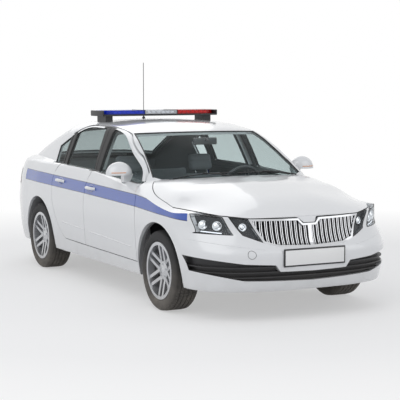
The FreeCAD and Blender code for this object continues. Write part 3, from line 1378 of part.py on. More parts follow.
wheelPlaces = {
    "front_left": (axleX, 1),
    "front_right": (axleX, -1),
    "rear_left": (rearAxleX, 1),
    "rear_right": (rearAxleX, -1),
}
for corner, (x, side) in wheelPlaces.items():
    place = Placement(Vector(x, side * wheelY, wheelZ), Rotation(alongZ, 0 if side > 0 else 180))
    rim = newBody(corner + "_rim")
    revolved(rim, "Barrel", newSketch(rim, "BarrelLine", rimLine))
    spokes = []
    for sign in (-1, 1):
        sketch = newSketch(rim, "SpokeLine", spokeLine, sign * size("spoke_splay") / 2)
        spoke = rim.newObject("PartDesign::Pad", "Spoke")
        spoke.Profile = sketch
        spoke.SideType = "Symmetric"
        spoke.setExpression("Length", "Sizes.spoke_width")
        spokes.append(spoke)
    ring = rim.newObject("PartDesign::PolarPattern", "SpokeRing")
    ring.Originals = spokes
    ring.Axis = (originPlane(rim, "Y_Axis"), [""])
    ring.Angle = 360
    ring.Occurrences = spokePairs
    rim.Tip = ring
    hub = revolved(rim, "Hub", newSketch(rim, "HubLine", hubLine))
    rim.Tip = hub
    rim.Placement = place
    tyre = newBody(corner + "_tyre")
    tyre.Tip = revolved(tyre, "Casing", newSketch(tyre, "CasingLine", tyreLine))
    tyre.Placement = place

# Antenna: a foot on the roof with a thin whip
antenna = newBody("antenna")
whip = antenna.newObject("Sketcher::SketchObject", "WhipLine")
whip.AttachmentSupport = [(originPlane(antenna, "XZ_Plane"), "")]
whip.MapMode = "FlatFace"
footRadius = size("antenna_base_radius")
footHeight = size("antenna_base_height")
whipRadius = size("antenna_radius")
roofAtAntenna = size("antenna_foot_z")
whipHeight = size("antenna_top_z") - roofAtAntenna
whipLine = [(0, 0), (footRadius, 0), (whipRadius * 2, footHeight), (whipRadius, footHeight),
            (whipRadius, whipHeight), (0, whipHeight)]
for start, end in zip(whipLine, whipLine[1:] + whipLine[:1]):
    whip.addGeometry(Part.LineSegment(Vector(*start, 0), Vector(*end, 0)), False)
for index in range(len(whipLine)):
    whip.addConstraint(Sketcher.Constraint("Coincident", index, 2, (index + 1) % len(whipLine), 1))
mast = antenna.newObject("PartDesign::Revolution", "Mast")
mast.Profile = whip
mast.ReferenceAxis = (whip, ["V_Axis"])
mast.Angle = 360
antenna.Tip = mast
antenna.Placement = Placement(Vector(-size("antenna_x"), 0, roofAtAntenna), Rotation())

# Front knuckles: kingpin post, carrier, spindle in the hub's bore and brake caliper
kingY = size("kingpin_y")
runningGap = size("running_gap")
pinTop = wheelZ + size("pin_height")
pinLow = wheelZ - size("pin_height")
spindleRadius = "Sizes.hub_bore - Sizes.running_gap"
discInner = wheelY + discFace
caliperX = axleX - size("caliper_reach")
caliperZ = wheelZ - size("caliper_height") / 2
caliperY = discInner - size("caliper_depth") / 2
post = cylinder("Post", Vector(axleX, kingY, pinLow), alongZ, "Sizes.knuckle_radius", "2 * Sizes.pin_height")
carrier = cylinder("Carrier", Vector(axleX, kingY, wheelZ), alongY, "Sizes.carrier_radius",
                   "Sizes.carrier_thickness")
spindle = cylinder("Spindle", Vector(axleX, kingY, wheelZ), alongY, spindleRadius,
                   "Sizes.wheel_centre_y + Sizes.hub_bore_depth - Sizes.running_gap - Sizes.kingpin_y")
caliperBlock = box("CaliperBlock", Vector(caliperX, caliperY, caliperZ), "Sizes.caliper_width",
                   "Sizes.caliper_depth + Sizes.disc_thickness", "Sizes.caliper_height")
bracket = box("CaliperBracket", Vector(caliperX, kingY, wheelZ - size("knuckle_radius")),
              "Sizes.caliper_reach", "Sizes.wheel_centre_y + Sizes.disc_inner_face - Sizes.kingpin_y"
              " - Sizes.caliper_depth / 4", "2 * Sizes.knuckle_radius")
discRoom = cylinder("DiscRoom", Vector(axleX, discInner - size("disc_clearance"), wheelZ), alongY,
                    "Sizes.disc_radius + Sizes.disc_clearance",
                    "Sizes.disc_thickness + 2 * Sizes.disc_clearance")
caliper = doc.addObject("Part::Cut", "Caliper")
caliper.Base = caliperBlock
caliper.Tool = discRoom
leftKnuckle = joined("LeftKnuckle", [post, carrier, spindle, caliper, bracket])
subPart(leftKnuckle, "left_knuckle")
subPart(otherSide(leftKnuckle, "RightKnuckle"), "right_knuckle")

# Front suspension: crossmember, lower arms with their joints, and the struts above
armZ = pinLow - runningGap - size("arm_thickness")
crossHalf = railY + railWidth
crossX = axleX - size("crossmember_length") / 2
crossZ = size("crossmember_z")
crossmember = box("Crossmember", Vector(crossX, -crossHalf, crossZ), "Sizes.crossmember_length",
                  "2 * (Sizes.rail_y + Sizes.rail_width)", "Sizes.crossmember_height")
mounts = [box("EngineMount", Vector(crossX, -size("engine_width") / 2, crossZ),
              "Sizes.crossmember_length", "Sizes.engine_width", "Sizes.engine_z - Sizes.crossmember_z")]
armPieces = []
for side in (-1, 1):
    railLeg = box("RailLeg", Vector(crossX, (side * (2 * railY + railWidth) - railWidth) / 2, crossZ),
                  "Sizes.crossmember_length", "Sizes.rail_width", "Sizes.rail_z - Sizes.crossmember_z")
    arm = box("LowerArm", Vector(axleX - size("arm_width") / 2, min(side * kingY, side * railY), armZ),
              "Sizes.arm_width", "Sizes.kingpin_y - Sizes.rail_y", "Sizes.arm_thickness")
    ball = cylinder("LowerJoint", Vector(axleX, side * kingY, armZ), alongZ, "Sizes.arm_width / 2",
                    "Sizes.arm_thickness")
    armPieces += [railLeg, arm, ball]
subframe = joined("Subframe", [crossmember] + mounts + armPieces)
strutY = size("strut_y")
footZ = pinTop + runningGap
strut = cylinder("Strut", Vector(axleX, strutY, footZ), alongZ, "Sizes.strut_radius",
                 "Sizes.strut_top_z - Sizes.wheel_centre_z - Sizes.pin_height - Sizes.running_gap")
strutFoot = box("StrutFoot", Vector(axleX - size("strut_radius"), strutY, footZ), "2 * Sizes.strut_radius",
                "Sizes.kingpin_y - Sizes.strut_y", "Sizes.strut_foot_height")
upperJoint = cylinder("UpperJoint", Vector(axleX, kingY, footZ), alongZ, "Sizes.strut_radius",
                      "Sizes.strut_foot_height")
spring = cylinder("SpringCup", Vector(axleX, strutY, size("strut_top_z") - size("spring_height")), alongZ,
                  "Sizes.spring_radius", "Sizes.spring_height")
leftStrut = joined("LeftStrut", [strut, strutFoot, upperJoint, spring])
subPart(together("FrontSuspension", [subframe, leftStrut, otherSide(leftStrut, "RightStrut")]),
        "front_suspension")

# Rear axle: twist beam, trailing arms, spindles and dampers
trailY = size("trailing_arm_y")
pivotX = -size("trailing_pivot_x")
pivotHalf = size("pivot_block") / 2
beam = cylinder("TwistBeam", Vector(-size("beam_x"), -trailY, wheelZ), alongY, "Sizes.beam_radius",
                "2 * Sizes.trailing_arm_y")
rearPieces = [beam]
for side in (-1, 1):
    armY = side * trailY
    trailingArm = cylinder("TrailingArm", Vector(rearAxleX, armY, wheelZ), alongX, "Sizes.trailing_arm_radius",
                           "Sizes.wheelbase - Sizes.front_axle_x - Sizes.trailing_pivot_x")
    stub = cylinder("RearSpindle", Vector(rearAxleX, armY, wheelZ), Vector(0, side, 0), spindleRadius,
                    "Sizes.wheel_centre_y + Sizes.hub_bore_depth - Sizes.running_gap"
                    " - Sizes.trailing_arm_y")
    pivot = box("PivotBlock", Vector(pivotX - pivotHalf, armY - pivotHalf, wheelZ - pivotHalf),
                "Sizes.pivot_block", "Sizes.pivot_block",
                "Sizes.boot_floor_z - Sizes.wheel_centre_z + Sizes.pivot_block / 2")
    damper = cylinder("Damper", Vector(rearAxleX, armY, wheelZ), alongZ, "Sizes.damper_radius",
                      "Sizes.boot_floor_z - Sizes.wheel_centre_z")
    rearPieces += [trailingArm, stub, pivot, damper]
subPart(joined("RearAxle", rearPieces), "rear_axle")

doc.recompute()
for feature in doc.Objects:
    if "Invalid" in feature.State or "Error" in feature.State:
        raise ValueError("%s is not valid" % feature.Label)
for name, feature in parts.items():
    shape = feature.Shape
    if shape.isNull() or not shape.isValid() or not shape.Solids:
        raise ValueError("%s has no valid shape" % name)
for name, feature in parts.items():
    feature.Shape.exportStep("parts/%s.step" % name)
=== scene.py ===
import math

import bmesh
import bpy
from mathutils import Matrix, Vector
from mathutils.bvhtree import BVHTree


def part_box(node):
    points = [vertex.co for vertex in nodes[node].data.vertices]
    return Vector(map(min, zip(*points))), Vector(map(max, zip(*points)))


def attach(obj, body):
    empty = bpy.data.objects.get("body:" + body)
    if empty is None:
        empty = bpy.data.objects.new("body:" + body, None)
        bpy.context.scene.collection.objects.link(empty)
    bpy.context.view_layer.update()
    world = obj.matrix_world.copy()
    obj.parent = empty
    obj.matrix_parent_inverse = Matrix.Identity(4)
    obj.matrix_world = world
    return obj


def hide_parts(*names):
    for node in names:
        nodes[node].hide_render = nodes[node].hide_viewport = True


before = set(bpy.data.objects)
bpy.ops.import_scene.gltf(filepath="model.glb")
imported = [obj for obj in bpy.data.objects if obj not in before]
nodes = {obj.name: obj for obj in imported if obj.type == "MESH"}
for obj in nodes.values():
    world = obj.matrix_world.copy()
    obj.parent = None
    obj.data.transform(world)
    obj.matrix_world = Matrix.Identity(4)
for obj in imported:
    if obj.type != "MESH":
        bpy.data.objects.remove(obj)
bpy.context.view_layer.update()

# Police patrol car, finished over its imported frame. Metres, X forward, Y to the left, Z up.

sides = {"left": 1, "right": -1}
ends = ("front", "rear")
axle = {"front": 1.430, "rear": -1.256, "level": 0.317}
onAxis = 0.0001  # the smallest radius of a turned piece, in place of a point on its axis


# Small helpers for node trees
def feed(tree, socket, value):
    if isinstance(value, bpy.types.NodeSocket):
        tree.links.new(value, socket)
    else:
        socket.default_value = value


def calculate(tree, operation, first, second=0.0, clamp=False):
    node = tree.nodes.new("ShaderNodeMath")
    node.operation = operation
    node.use_clamp = clamp
    feed(tree, node.inputs[0], first)
    feed(tree, node.inputs[1], second)
    return node.outputs[0]


def blendColor(tree, factor, first, second):
    node = tree.nodes.new("ShaderNodeMix")
    node.data_type = "RGBA"
    feed(tree, node.inputs[0], factor)
    feed(tree, node.inputs[6], first)
    feed(tree, node.inputs[7], second)
    return node.outputs[2]


def splitPosition(tree, position):
    node = tree.nodes.new("ShaderNodeSeparateXYZ")
    tree.links.new(position, node.inputs[0])
    return node.outputs[0], node.outputs[1], node.outputs[2]


def soft(tree, value, width):
    scaled = calculate(tree, "DIVIDE", value, width)
    return calculate(tree, "ADD", scaled, 0.5, True)


def newGroup(name, inputs, outputs):
    tree = bpy.data.node_groups.new(name, "ShaderNodeTree")
    for label, kind, value in inputs:
        socket = tree.interface.new_socket(label, in_out="INPUT", socket_type=kind)
        if value is not None:
            socket.default_value = value
    for label, kind in outputs:
        tree.interface.new_socket(label, in_out="OUTPUT", socket_type=kind)
    start = tree.nodes.new("NodeGroupInput")
    end = tree.nodes.new("NodeGroupOutput")
    return tree, start, end


def useGroup(tree, group, **values):
    node = tree.nodes.new("ShaderNodeGroup")
    node.node_tree = group
    for label, value in values.items():
        feed(tree, node.inputs[label.replace("_", " ")], value)
    return node


# Shared effect: uneven roughness and a faint waviness
pattern = {"grainDetail": 4.0, "dustScale": 9.0, "dustDetail": 6.0}


def buildSurfaceGrain():
    tree, start, end = newGroup(
        "Surface Grain",
        [("Position", "NodeSocketVector", None), ("Scale", "NodeSocketFloat", 60.0),
         ("Roughness", "NodeSocketFloat", 0.4), ("Spread", "NodeSocketFloat", 0.1),
         ("Depth", "NodeSocketFloat", 0.0002)],
        [("Roughness", "NodeSocketFloat"), ("Normal", "NodeSocketVector")])
    noise = tree.nodes.new("ShaderNodeTexNoise")
    tree.links.new(start.outputs["Position"], noise.inputs["Vector"])
    tree.links.new(start.outputs["Scale"], noise.inputs["Scale"])
    noise.inputs["Detail"].default_value = pattern["grainDetail"]
    offset = calculate(tree, "SUBTRACT", noise.outputs[0], 0.5)
    spread = calculate(tree, "MULTIPLY", offset, start.outputs["Spread"])
    total = calculate(tree, "ADD", spread, start.outputs["Roughness"], True)
    bump = tree.nodes.new("ShaderNodeBump")
    tree.links.new(start.outputs["Depth"], bump.inputs["Distance"])
    tree.links.new(noise.outputs[0], bump.inputs["Height"])
    tree.links.new(total, end.inputs["Roughness"])
    tree.links.new(bump.outputs[0], end.inputs["Normal"])
    return tree


# Shared effect: road dust that thins out with height
def buildRoadDust():
    tree, start, end = newGroup(
        "Road Dust",
        [("Position", "NodeSocketVector", None), ("Height", "NodeSocketFloat", 0.45),
         ("Amount", "NodeSocketFloat", 0.35)],
        [("Mask", "NodeSocketFloat")])
    x, y, z = splitPosition(tree, start.outputs["Position"])
    fall = calculate(tree, "DIVIDE", z, start.outputs["Height"])
    low = calculate(tree, "SUBTRACT", 1.0, fall, True)
    noise = tree.nodes.new("ShaderNodeTexNoise")
    tree.links.new(start.outputs["Position"], noise.inputs["Vector"])
    noise.inputs["Scale"].default_value = pattern["dustScale"]
    noise.inputs["Detail"].default_value = pattern["dustDetail"]
    grainy = calculate(tree, "MULTIPLY", noise.outputs[0], low)
    mask = calculate(tree, "MULTIPLY", grainy, start.outputs["Amount"], True)
    tree.links.new(mask, end.inputs["Mask"])
    return tree


# A stripe along both sides between two broken lines, each the lowest of three straight lines
stripe = {"top": ((-1.584, 0.949), (-0.092, 0.921), (1.050, 0.891), (1.977, 0.816)),
          "low": ((-1.678, 0.843), (-0.092, 0.818), (1.034, 0.791), (2.002, 0.744)),
          "front": 1.878, "rear": -1.66, "inner": 0.55, "blur": 0.003, "rim": 0.006}


def buildSideBand():
    tree, start, end = newGroup(
        "Side Band",
        [("Position", "NodeSocketVector", None), ("Front", "NodeSocketFloat", stripe["front"]),
         ("Rear", "NodeSocketFloat", stripe["rear"]), ("Inner", "NodeSocketFloat", stripe["inner"])],
        [("Mask", "NodeSocketFloat"), ("Edge", "NodeSocketFloat")])
    x, y, z = splitPosition(tree, start.outputs["Position"])
    heights = []
    for points in (stripe["top"], stripe["low"]):
        lowest = None
        for (x0, z0), (x1, z1) in zip(points, points[1:]):
            slope = (z1 - z0) / (x1 - x0)
            line = calculate(tree, "ADD", calculate(tree, "MULTIPLY", x, slope), z0 - slope * x0)
            lowest = line if lowest is None else calculate(tree, "MINIMUM", lowest, line)
        heights.append(lowest)
    out = calculate(tree, "ABSOLUTE", y)
    mask = soft(tree, calculate(tree, "SUBTRACT", heights[0], z), stripe["blur"])
    for first, second in ((z, heights[1]), (start.outputs["Front"], x), (x, start.outputs["Rear"]),
                          (out, start.outputs["Inner"])):
        within = soft(tree, calculate(tree, "SUBTRACT", first, second), stripe["blur"])
        mask = calculate(tree, "MULTIPLY", mask, within)
    near = [calculate(tree, "LESS_THAN", calculate(tree, "ABSOLUTE", calculate(
        tree, "SUBTRACT", height, z)), stripe["rim"]) for height in heights]
    edge = calculate(tree, "MULTIPLY", calculate(tree, "MAXIMUM", near[0], near[1]), mask)
    tree.links.new(mask, end.inputs["Mask"])
    tree.links.new(edge, end.inputs["Edge"])
    return tree


surfaceGrain = buildSurfaceGrain()
roadDust = buildRoadDust()
sideBand = buildSideBand()
print("scene: shared effects built")

# Finishes that change what the whole car looks like
finish = {
    "white": (0.76, 0.77, 0.78, 1),
    "lining": (0.24, 0.24, 0.245, 1),
    "stripe": (0.012, 0.075, 0.42, 1),
    "stripeEdge": (0.004, 0.02, 0.10, 1),
    "dust": (0.30, 0.27, 0.23, 1),
    "black": (0.012, 0.012, 0.013, 1),
    "paintRoughness": 0.22,
    "dullRoughness": 0.55,
    "coat": 0.8,
    "coatRoughness": 0.05,
    "dustHeight": 0.50,
    "dustAmount": 0.5,
}


def mixShaders(tree, factor, first, second):
    mix = tree.nodes.new("ShaderNodeMixShader")
    feed(tree, mix.inputs[0], factor)
    tree.links.new(first.outputs[0], mix.inputs[1])
    tree.links.new(second.outputs[0], mix.inputs[2])
    tree.links.new(mix.outputs[0], tree.nodes["Material Output"].inputs["Surface"])


def startMaterial(name):
    material = bpy.data.materials.new(name)
    material.use_nodes = True
    tree = material.node_tree
    shader = tree.nodes["Principled BSDF"]
    place = tree.nodes.new("ShaderNodeTexCoord")
    return material, tree, shader, place.outputs["Object"]


# The lining: faces that look into the cabin, downwards or into a wheel arch
lining = {"inward": -0.25, "floor": 0.20, "downward": -0.35, "belt": 0.70, "innerSide": 0.872,
          "archRadius": 0.392, "upright": 0.62}


def buildLiningMask():
    tree, start, output = newGroup("Lining Mask", [("Position", "NodeSocketVector", None)],
                                   [("Mask", "NodeSocketFloat"), ("Upright", "NodeSocketFloat")])
    x, y, z = splitPosition(tree, start.outputs["Position"])
    faceWay = tree.nodes.new("ShaderNodeNewGeometry")
    turned = tree.nodes.new("ShaderNodeVectorTransform")
    turned.vector_type = "NORMAL"
    turned.convert_from = "WORLD"
    turned.convert_to = "OBJECT"
    tree.links.new(faceWay.outputs["Normal"], turned.inputs[0])
    nx, ny, nz = splitPosition(tree, turned.outputs[0])
    outward = calculate(tree, "MULTIPLY", calculate(tree, "SIGN", y), ny)
    inward = calculate(tree, "MULTIPLY", calculate(tree, "LESS_THAN", outward, lining["inward"]),
                       calculate(tree, "GREATER_THAN", z, lining["floor"]))
    downward = calculate(tree, "MULTIPLY", calculate(tree, "LESS_THAN", nz, lining["downward"]),
                         calculate(tree, "GREATER_THAN", z, lining["belt"]))
    across = calculate(tree, "LESS_THAN", calculate(tree, "ABSOLUTE", y), lining["innerSide"])
    mask = calculate(tree, "MAXIMUM", inward, downward)
    rise = calculate(tree, "SUBTRACT", z, axle["level"])
    for end in ends:
        run = calculate(tree, "SUBTRACT", x, axle[end])
        far = calculate(tree, "SQRT", calculate(tree, "ADD", calculate(tree, "MULTIPLY", run, run),
                                                calculate(tree, "MULTIPLY", rise, rise)))
        inArch = calculate(tree, "LESS_THAN", far, lining["archRadius"])
        mask = calculate(tree, "MAXIMUM", mask, calculate(tree, "MULTIPLY", inArch, across))
    upright = calculate(tree, "LESS_THAN", calculate(tree, "ABSOLUTE", nz), lining["upright"])
    tree.links.new(mask, output.inputs["Mask"])
    tree.links.new(upright, output.inputs["Upright"])
    return tree


liningMask = buildLiningMask()


# Black bands between the side windows: x of the front and rear lines, and z of the top line, with slopes
pillarBands = {
    "middle": {"front": (0.2246, -0.13), "rear": (0.233, -0.30), "top": (1.70, 0.0), "belt": 1.018},
    "rear": {"front": (-0.664, -0.064), "rear": (-0.760, -0.085), "top": (1.683, 0.45), "belt": 1.040},
}


def pillarMask(tree, position, band):
    x, y, z = splitPosition(tree, position)
    lines = []
    for (start, slope), along in ((band["front"], z), (band["rear"], z), (band["top"], x)):
        lines.append(calculate(tree, "ADD", calculate(tree, "MULTIPLY", along, slope), start))
    mask = calculate(tree, "LESS_THAN", x, lines[0])
    for part in (calculate(tree, "GREATER_THAN", x, lines[1]), calculate(tree, "LESS_THAN", z, lines[2]),
                 calculate(tree, "GREATER_THAN", z, band["belt"])):
        mask = calculate(tree, "MULTIPLY", mask, part)
    return mask


# Paint with its stripe, a dusty foot, and the black bands between the side windows where asked
def paintMaterial(name, pillars=(), striped=True, lined=True):
    material, tree, shader, position = startMaterial(name)
    inside = useGroup(tree, liningMask, Position=position)
    dull = inside.outputs["Mask"] if lined else 0.0
    color = finish["white"]
    if striped:
        band = useGroup(tree, sideBand, Position=position)
        upright = calculate(tree, "MULTIPLY", band.outputs["Mask"], inside.outputs["Upright"])
        color = blendColor(tree, upright, color, finish["stripe"])
        color = blendColor(tree, calculate(tree, "MULTIPLY", band.outputs["Edge"], upright), color,
                           finish["stripeEdge"])
    for pillar in pillars:
        mask = pillarMask(tree, position, pillarBands[pillar])
        color = blendColor(tree, mask, color, finish["black"])
        dull = calculate(tree, "MAXIMUM", dull, mask)
    dust = useGroup(tree, roadDust, Position=position, Height=finish["dustHeight"],
                    Amount=finish["dustAmount"])
    color = blendColor(tree, dust.outputs["Mask"], color, finish["dust"])
    if lined:
        color = blendColor(tree, inside.outputs["Mask"], color, finish["lining"])
    grain = useGroup(tree, surfaceGrain, Position=position, Scale=3.0,
                     Roughness=finish["paintRoughness"], Spread=0.05, Depth=0.0)
    rough = calculate(tree, "MAXIMUM", grain.outputs["Roughness"],
                      calculate(tree, "MULTIPLY", dull, finish["dullRoughness"]))
    coat = calculate(tree, "MULTIPLY", calculate(tree, "SUBTRACT", 1.0, dull), finish["coat"])
    feed(tree, shader.inputs["Base Color"], color)
    feed(tree, shader.inputs["Roughness"], rough)
    feed(tree, shader.inputs["Coat Weight"], coat)
    feed(tree, shader.inputs["Coat Roughness"], finish["coatRoughness"])
    return material


def plainMaterial(name, color, roughness=0.4, metal=0.0, scale=60.0, spread=0.1, depth=0.0002, dusty=0.0,
                  coat=0.0):
    material, tree, shader, position = startMaterial(name)
    grain = useGroup(tree, surfaceGrain, Position=position, Scale=scale, Roughness=roughness,
                     Spread=spread, Depth=depth)
    if dusty:
        dust = useGroup(tree, roadDust, Position=position, Amount=dusty)
        color = blendColor(tree, dust.outputs["Mask"], color, finish["dust"])
    feed(tree, shader.inputs["Base Color"], color)
    feed(tree, shader.inputs["Metallic"], metal)
    feed(tree, shader.inputs["Roughness"], grain.outputs["Roughness"])
    feed(tree, shader.inputs["Normal"], grain.outputs["Normal"])
    feed(tree, shader.inputs["Coat Weight"], coat)
    return material


# Thin glass: a tint that the inside shows through, with the shine of its outer face
glass = {"roughness": 0.03, "scale": 2.0, "spread": 0.01, "specular": 0.6, "refraction": 1.45}


def glassMaterial(name, tint, clear, passing):
    material, tree, shader, position = startMaterial(name)
    grain = useGroup(tree, surfaceGrain, Position=position, Scale=glass["scale"],
                     Roughness=glass["roughness"], Spread=glass["spread"], Depth=0.0)
    feed(tree, shader.inputs["Base Color"], tint)
    feed(tree, shader.inputs["Roughness"], grain.outputs["Roughness"])
    feed(tree, shader.inputs["Specular IOR Level"], glass["specular"])
    through = tree.nodes.new("ShaderNodeBsdfTransparent")
    feed(tree, through.inputs["Color"], passing)
    edge = tree.nodes.new("ShaderNodeFresnel")
    edge.inputs["IOR"].default_value = glass["refraction"]
    solid = calculate(tree, "ADD", edge.outputs[0], 1.0 - clear, True)
    inside = tree.nodes.new("ShaderNodeNewGeometry").outputs["Backfacing"]
    solid = calculate(tree, "MULTIPLY", solid, calculate(tree, "SUBTRACT", 1.0, inside))
    mixShaders(tree, solid, through, shader)
    return material


def glowMaterial(name, color, strength):
    material, tree, shader, position = startMaterial(name)
    grain = useGroup(tree, surfaceGrain, Position=position, Roughness=0.3)
    feed(tree, shader.inputs["Base Color"], color)
    feed(tree, shader.inputs["Roughness"], grain.outputs["Roughness"])
    feed(tree, shader.inputs["Emission Color"], color)
    feed(tree, shader.inputs["Emission Strength"], strength)
    return material


# The light bar's lenses: one colour on each side, a clear middle and fine upright ribs
lens = {"left": (0.62, 0.01, 0.012, 1), "right": (0.01, 0.05, 0.62, 1), "middle": (0.75, 0.77, 0.80, 1),
        "clear": 0.45, "halfMiddle": 0.1665, "ribs": 28.0, "ribDepth": 0.001, "roughness": 0.12}


def lensMaterial():
    material, tree, shader, position = startMaterial("light bar lens")
    x, y, z = splitPosition(tree, position)
    isLeft = calculate(tree, "GREATER_THAN", y, lens["halfMiddle"])
    isRight = calculate(tree, "LESS_THAN", y, -lens["halfMiddle"])
    color = blendColor(tree, isLeft, lens["middle"], lens["left"])
    color = blendColor(tree, isRight, color, lens["right"])
    wave = tree.nodes.new("ShaderNodeTexWave")
    wave.bands_direction = "Y"
    tree.links.new(position, wave.inputs["Vector"])
    wave.inputs["Scale"].default_value = lens["ribs"]
    bump = tree.nodes.new("ShaderNodeBump")
    bump.inputs["Distance"].default_value = lens["ribDepth"]
    tree.links.new(wave.outputs["Fac"], bump.inputs["Height"])
    feed(tree, shader.inputs["Base Color"], color)
    feed(tree, shader.inputs["Roughness"], lens["roughness"])
    tree.links.new(bump.outputs[0], shader.inputs["Normal"])
    through = tree.nodes.new("ShaderNodeBsdfTransparent")
    tree.links.new(color, through.inputs["Color"])
    mixShaders(tree, 1.0 - lens["clear"], through, shader)
    return material


look = {
    "paint": paintMaterial("white paint with stripe"),
    "doorPaint": paintMaterial("door paint with stripe", pillars=("middle", "rear")),
    "bodyPaint": paintMaterial("body side paint with stripe", pillars=("rear",)),
    "sideGlass": glassMaterial("side glass", (0.03, 0.04, 0.04, 1), 0.93, (0.84, 0.88, 0.88, 1)),
    "screenGlass": glassMaterial("windscreen glass", (0.06, 0.07, 0.07, 1), 0.96, (0.91, 0.95, 0.95, 1)),
    "lampGlass": glassMaterial("lamp cover", (0.20, 0.21, 0.22, 1), 0.96, (0.95, 0.97, 0.98, 1)),
    "redLamp": glassMaterial("red lamp cover", (0.45, 0.008, 0.01, 1), 0.45, (0.80, 0.05, 0.05, 1)),
    "bonnetPaint": paintMaterial("white paint", striped=False),
    "mirrorPaint": paintMaterial("mirror paint", striped=False, lined=False),
    "lens": lensMaterial(),
    "seal": plainMaterial("rubber seal", (0.014, 0.014, 0.015, 1), 0.55, depth=0.0001),
    "trim": plainMaterial("black trim", (0.02, 0.02, 0.022, 1), 0.45, scale=220.0, dusty=0.4),
    "gloss": plainMaterial("gloss black", (0.01, 0.01, 0.011, 1), 0.12, spread=0.03, depth=0.0),
    "bright": plainMaterial("bright trim", (0.58, 0.59, 0.61, 1), 0.16, 1.0, spread=0.05, depth=0.0),
    "wheel": plainMaterial("wheel silver", (0.55, 0.56, 0.58, 1), 0.30, 0.75, spread=0.08, depth=0.0,
                           dusty=0.5, coat=0.4),
    "tyre": plainMaterial("tyre rubber", (0.022, 0.022, 0.023, 1), 0.78, scale=140.0, depth=0.0006,
                          dusty=0.9),
    "steel": plainMaterial("dark steel", (0.09, 0.09, 0.095, 1), 0.5, 0.6, scale=90.0, dusty=0.6),
    "pipe": plainMaterial("exhaust steel", (0.33, 0.31, 0.29, 1), 0.38, 0.9, scale=40.0, spread=0.3,
                          dusty=0.6),
    "cabin": plainMaterial("cabin plastic", (0.13, 0.13, 0.135, 1), 0.6, scale=400.0, depth=0.0004),
    "fabric": plainMaterial("seat fabric", (0.50, 0.51, 0.53, 1), 0.9, scale=900.0, depth=0.0006),
    "reflector": plainMaterial("lamp reflector", (0.86, 0.87, 0.89, 1), 0.12, 1.0, scale=200.0),
    "lampBlack": plainMaterial("lamp housing", (0.030, 0.031, 0.034, 1), 0.45, depth=0.0),
    "plate": plainMaterial("blank plate", (0.85, 0.85, 0.84, 1), 0.35, spread=0.03, depth=0.0),
    "daylight": glowMaterial("lamp light strip", (0.92, 0.95, 1.0, 1), 0.6),
    "tailGlow": glowMaterial("tail lamp band", (0.80, 0.02, 0.015, 1), 0.5),
    "amber": plainMaterial("amber lamp", (0.75, 0.24, 0.02, 1), 0.25, depth=0.0),
    "mirror": plainMaterial("mirror glass", (0.80, 0.82, 0.84, 1), 0.02, 1.0, spread=0.0, depth=0.0),
}

nodeLook = {
    "floor_pan": "steel", "body_sides": "bodyPaint", "roof_panel": "paint", "front_fenders": "paint",
    "front_bumper": "paint", "rear_bumper": "paint", "bulkhead": "trim", "engine_block": "steel",
    "dashboard": "cabin", "front_seats": "fabric", "rear_bench": "fabric", "fixed_windows": "screenGlass",
    "lightbar_base": "trim", "lightbar_lenses": "lens", "antenna": "gloss", "headlamps": "lampGlass",
    "tail_lamps": "redLamp", "grille": "bright", "air_intakes": "trim", "exhaust": "pipe",
    "fuel_tank": "trim", "front_suspension": "steel", "rear_axle": "steel", "front_rails": "steel",
    "bonnet": "bonnetPaint", "tailgate": "paint", "rear_window": "sideGlass", "left_mirror": "mirrorPaint",
    "right_mirror": "mirrorPaint", "left_knuckle": "steel", "right_knuckle": "steel",
    "steering_wheel": "cabin",
}
for end in ends:
    for side in sides:
        nodeLook["%s_%s_door" % (end, side)] = "doorPaint"
        nodeLook["%s_%s_window" % (end, side)] = "sideGlass"
        nodeLook["%s_%s_rim" % (end, side)] = "wheel"
        nodeLook["%s_%s_tyre" % (end, side)] = "tyre"


def dress(obj, material):
    obj.data.materials.clear()
    obj.data.materials.append(material)


for name, key in nodeLook.items():
    dress(nodes[name], look[key])
print("scene: %d frame nodes dressed" % len(nodeLook))


# Objects from meshes, with their place kept in the mesh
def addMesh(name, mesh, material, body, smooth=40.0):
    obj = bpy.data.objects.new(name, mesh)
    bpy.context.scene.collection.objects.link(obj)
    dress(obj, material)
    mesh.shade_smooth()
    mesh.set_sharp_from_angle(angle=math.radians(smooth))
    if body:
        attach(obj, body)
    return obj


def meshFromData(name, points, faces):
    mesh = bpy.data.meshes.new(name)
    mesh.from_pydata([tuple(point) for point in points], [], faces)
    tidyMesh(mesh)
    return mesh


# An editable copy of a mesh with its doubles merged
def weldedCopy(mesh, weld=1e-5):
    work = bmesh.new()
    work.from_mesh(mesh)
    bmesh.ops.remove_doubles(work, verts=work.verts, dist=weld)
    return work


def tidyMesh(mesh, weld=1e-6):
    work = weldedCopy(mesh, weld)
    bmesh.ops.recalc_face_normals(work, faces=work.faces)
    work.to_mesh(mesh)
    work.free()


# The plain mesh that an object's curve or modifiers give
def finishedMesh(holder):
    return bpy.data.meshes.new_from_object(holder.evaluated_get(bpy.context.evaluated_depsgraph_get()))


# A round bar along lines of points
def tubeMesh(name, lines, radius, closed=False, sides=3):
    curve = bpy.data.curves.new(name, "CURVE")
    curve.dimensions = "3D"
    curve.bevel_depth = radius
    curve.bevel_resolution = sides
    curve.use_fill_caps = True
    for line in lines:
        spline = curve.splines.new("POLY")
        spline.points.add(len(line) - 1)
        for point, place in zip(spline.points, line):
            point.co = (*place, 1)
        spline.use_cyclic_u = closed
    holder = bpy.data.objects.new(name, curve)
    bpy.context.scene.collection.objects.link(holder)
    mesh = finishedMesh(holder)
    bpy.data.objects.remove(holder)
    bpy.data.curves.remove(curve)
    mesh.name = name
    return mesh


def addTube(name, lines, radius, key, body, closed=False):
    return addMesh(name, tubeMesh(name, lines, radius, closed), look[key], body)


